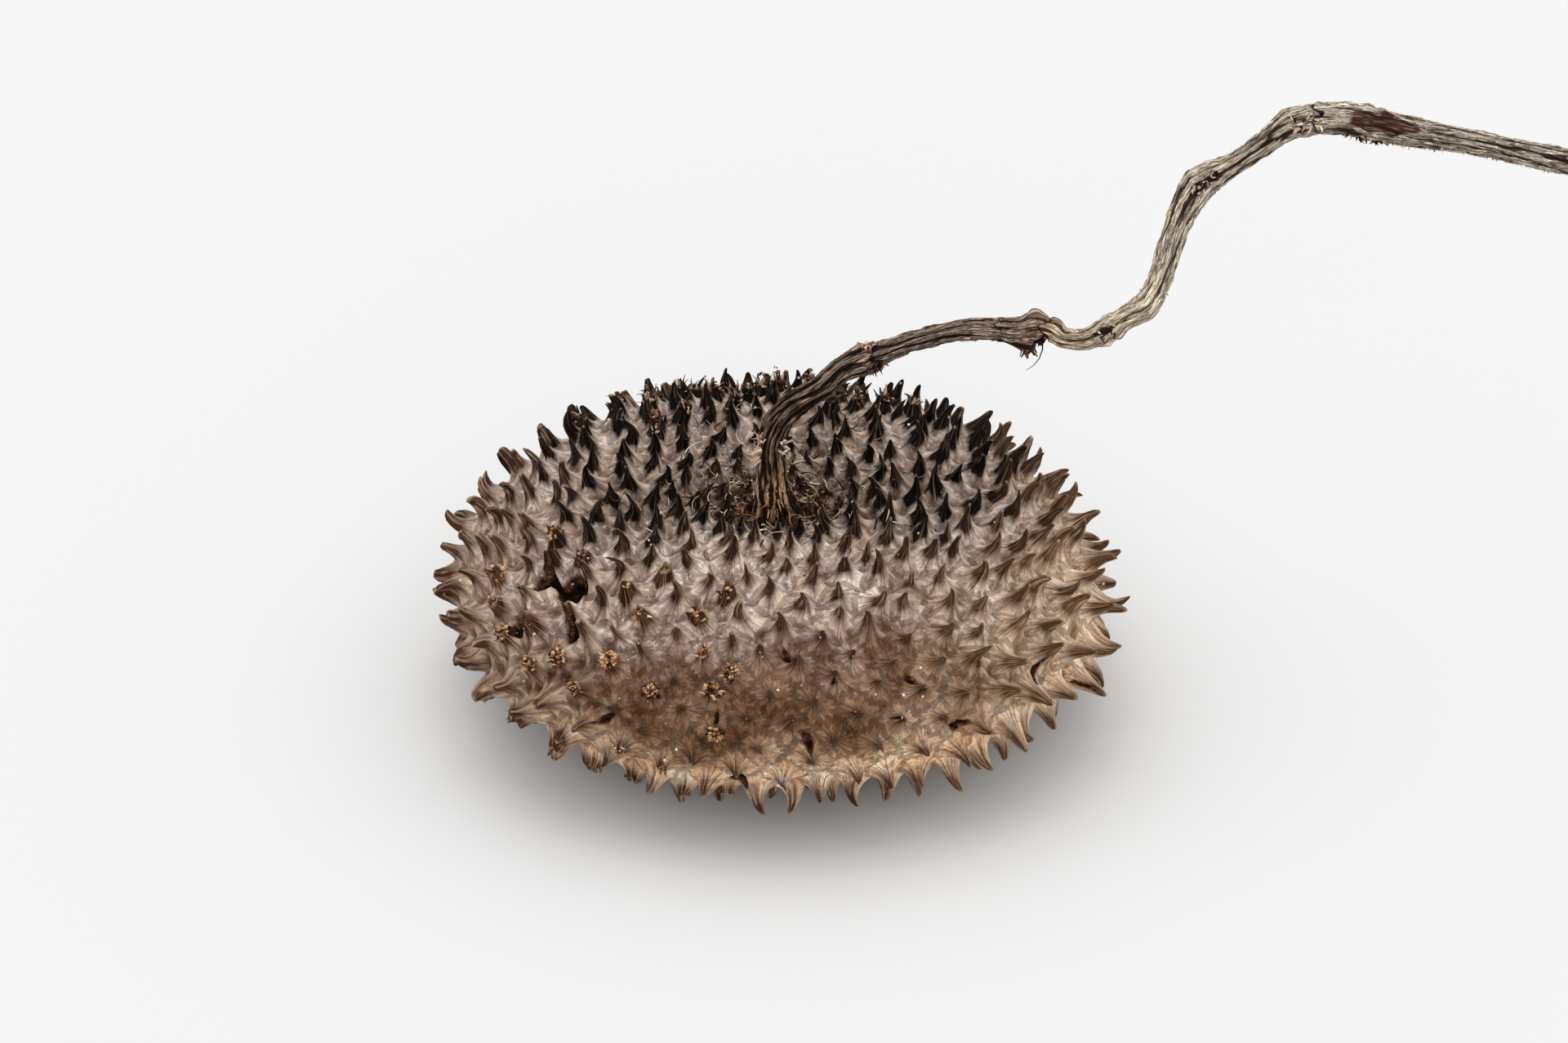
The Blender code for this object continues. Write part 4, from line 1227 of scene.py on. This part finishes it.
bmesh.ops.scale(crumb_shape, verts=crumb_shape.verts, vec=(1.0, 0.75, 0.5))
crumb = bpy.data.meshes.new("crumb")
crumb_shape.to_mesh(crumb)
crumb_shape.free()
for site, foot, way, height in zip(sites, corners.feet, corners.ways, corners.tall):
    if not site.broken or height < 0.3 * MM:
        continue
    charred = not skin.is_below(site.along) and site.azimuth % (2 * math.pi) < math.pi
    way = Vector(way)
    side = way.orthogonal().normalized()
    bulk = draw.uniform(0.55, 1.05) * (0.65 if skin.is_below(site.along) else 1.0)
    strands, crumbs = CHARRED_TUFT if charred else TUFT
    for i in range(strands + crumbs):
        spread = Quaternion(way, draw.uniform(0, 2 * math.pi)) @ side
        out = math.sqrt(draw.random())
        start = Vector(foot) + spread * out * STUB_RADIUS * bulk
        kind = draw.random()
        shade = draw.uniform(0.45, 0.95) if kind > 0.35 else draw.uniform(0.0, 0.35)
        if charred:
            shade = draw.uniform(0.05, 0.42) if kind < 0.85 else draw.uniform(0.84, 0.9)
        if i < strands:
            start += way * (height * draw.uniform(0.5, 0.95) + charred * draw.uniform(0.0, 0.9) * MM)
            lean = (way + spread * out * draw.uniform(0.0, 1.2)).normalized()
            add_strand(
                bm, strand, (tone, shade), start - lean * 0.2 * MM, lean,
                draw.uniform(0.6, 1.5 if charred else 1.1) * MM, draw.uniform(0.25, 0.55) * MM,
                draw.choice((-1, 1)) * draw.uniform(0.2, 1.8), draw.uniform(0, 6.3),
            )
        else:
            rise = draw.uniform(0.0, 2.4 if charred else 1.7)
            start += way * (height * 0.55 + (1.3 - out) * bulk * rise * MM)
            turn = Quaternion(spread, draw.uniform(0, 3)).to_matrix()
            if charred and kind < 0.8:
                shade = min(0.44, 0.08 + 0.16 * rise + draw.uniform(-0.08, 0.12))
            elif charred:
                shade = 0.87
            elif kind > 0.2:
                shade = min(1.0, 0.3 + 0.22 * rise + draw.uniform(-0.12, 0.2))
            else:
                shade = 0.1
            size = draw.uniform(*CRUMB_SIZES) * bulk * MM
            add_shape(bm, crumb, (tone, shade), lambda corner: start + turn @ (corner * size))
for at_mm, facing, count, spread, lengths, widths, curl, lie, pair in STALK_TATTERS:
    for _ in range(count):
        at = np.searchsorted(run, (at_mm + draw.uniform(-spread, spread)) * MM)
        onward = Vector(along[at])
        out = Vector(facing) + Vector([draw.uniform(-0.45, 0.45) for _ in range(3)])
        out = (out - onward * out.dot(onward)).normalized()
        foot = Vector(centres[at]) + out * radii[at] * 0.88
        way = (out * draw.uniform(0.4, 1.2) + onward * lie * draw.uniform(-1, 1)).normalized()
        add_strand(
            bm, strand, (tone, draw.choice(pair) + draw.uniform(-0.05, 0.05)),
            foot - way * 0.1 * MM, way,
            draw.uniform(*lengths) * MM, draw.uniform(*widths) * MM,
            draw.choice((-1, 1)) * draw.uniform(0.3, curl), draw.uniform(0, 6.3),
        )
travelled, way, hair_length, hair_width, curl = HAIR
at, way = np.searchsorted(run, travelled), Vector(way).normalized()
add_strand(
    bm, strand, (tone, 0.05), Vector(centres[at]) + way * radii[at] * 0.8, way, hair_length,
    hair_width, curl, math.pi / 2,
)

# Torn plant fibre: dry and matt, from charred black through golden brown to a pale straw.
fibre, tree, shader = new_finish("torn_plant_fibre")
tones = add_node(tree, "ShaderNodeAttribute", attribute_name="tone", out="Fac")
colour = add_node(
    tree, "ShaderNodeValToRGB", {"Fac": tones}, "Color",
    ramp=[
        (0.0, "#0C0603"), (0.3, "#2A1A11"), (0.42, "#6A4C3A"), (0.55, "#704A30"),
        (0.72, "#B58A5E"), (0.86, "#A68E78"), (1.0, "#DCCBB4"),
    ],
)
tree.links.new(colour, shader.inputs["Base Color"])
shader.inputs["Roughness"].default_value = 0.75
shader.inputs["Specular IOR Level"].default_value = 0.1
finished_piece(bm, "torn_fibres", fibre)

# The floor: one wide white sheet, which fills the whole frame and takes the soft shadow.
FLOOR_SIZE = 3.0
bm = bmesh.new()
bmesh.ops.create_grid(bm, x_segments=1, y_segments=1, size=FLOOR_SIZE / 2)
mesh = bpy.data.meshes.new("floor")
bm.to_mesh(mesh)
bm.free()
floor = bpy.data.objects.new("floor", mesh)
bpy.context.scene.collection.objects.link(floor)
paper, tree, shader = new_finish("white_paper")
shader.inputs["Base Color"].default_value = srgb("#B8B8B8")
shader.inputs["Roughness"].default_value = 0.9
mesh.materials.append(paper)

# Light: a white room with a wide soft lamp overhead, a little behind the object, and a weaker
# one low in front of it, which lights its front as a white card does.
world = bpy.data.worlds.new("white_room")
world.use_nodes = True
world.node_tree.nodes["Background"].inputs["Color"].default_value = (1, 1, 1, 1)
world.node_tree.nodes["Background"].inputs["Strength"].default_value = 1.42
bpy.context.scene.world = world
for name, size, energy, place, target in (
    ("overhead", 2.8, 35.0, (-0.3, 0.5, 2.6), (0, 0, 0.02)),
    ("bounce", 1.6, 13.0, (0.1, -1.9, 0.6), (0, 0, 0.01)),
):
    lamp = bpy.data.lights.new(name, "AREA")
    lamp.shape, lamp.size, lamp.energy = "DISK", size, energy
    light = bpy.data.objects.new(name, lamp)
    light.location = place
    light.rotation_euler = (Vector(target) - light.location).to_track_quat("-Z", "Y").to_euler()
    bpy.context.scene.collection.objects.link(light)
bpy.context.scene.view_settings.view_transform = "Standard"

# Camera: thirty degrees above the floor, with the lens that the photograph's frame gives.
ELEVATION = math.radians(30)
CAMERA_TARGET = Vector((0.8, 0, 21.3)) * MM
CAMERA_DISTANCE = 0.703
camera_data = bpy.data.cameras.new("camera")
camera_data.lens = 150
camera_data.clip_start = 0.01
camera = bpy.data.objects.new("camera", camera_data)
back = Vector((0, -math.cos(ELEVATION), math.sin(ELEVATION)))
camera.location = CAMERA_TARGET + back * CAMERA_DISTANCE
camera.rotation_mode = "QUATERNION"
camera.rotation_quaternion = (-back).to_track_quat("-Z", "Y")
bpy.context.scene.collection.objects.link(camera)
bpy.context.scene.camera = camera

bpy.context.view_layer.update()
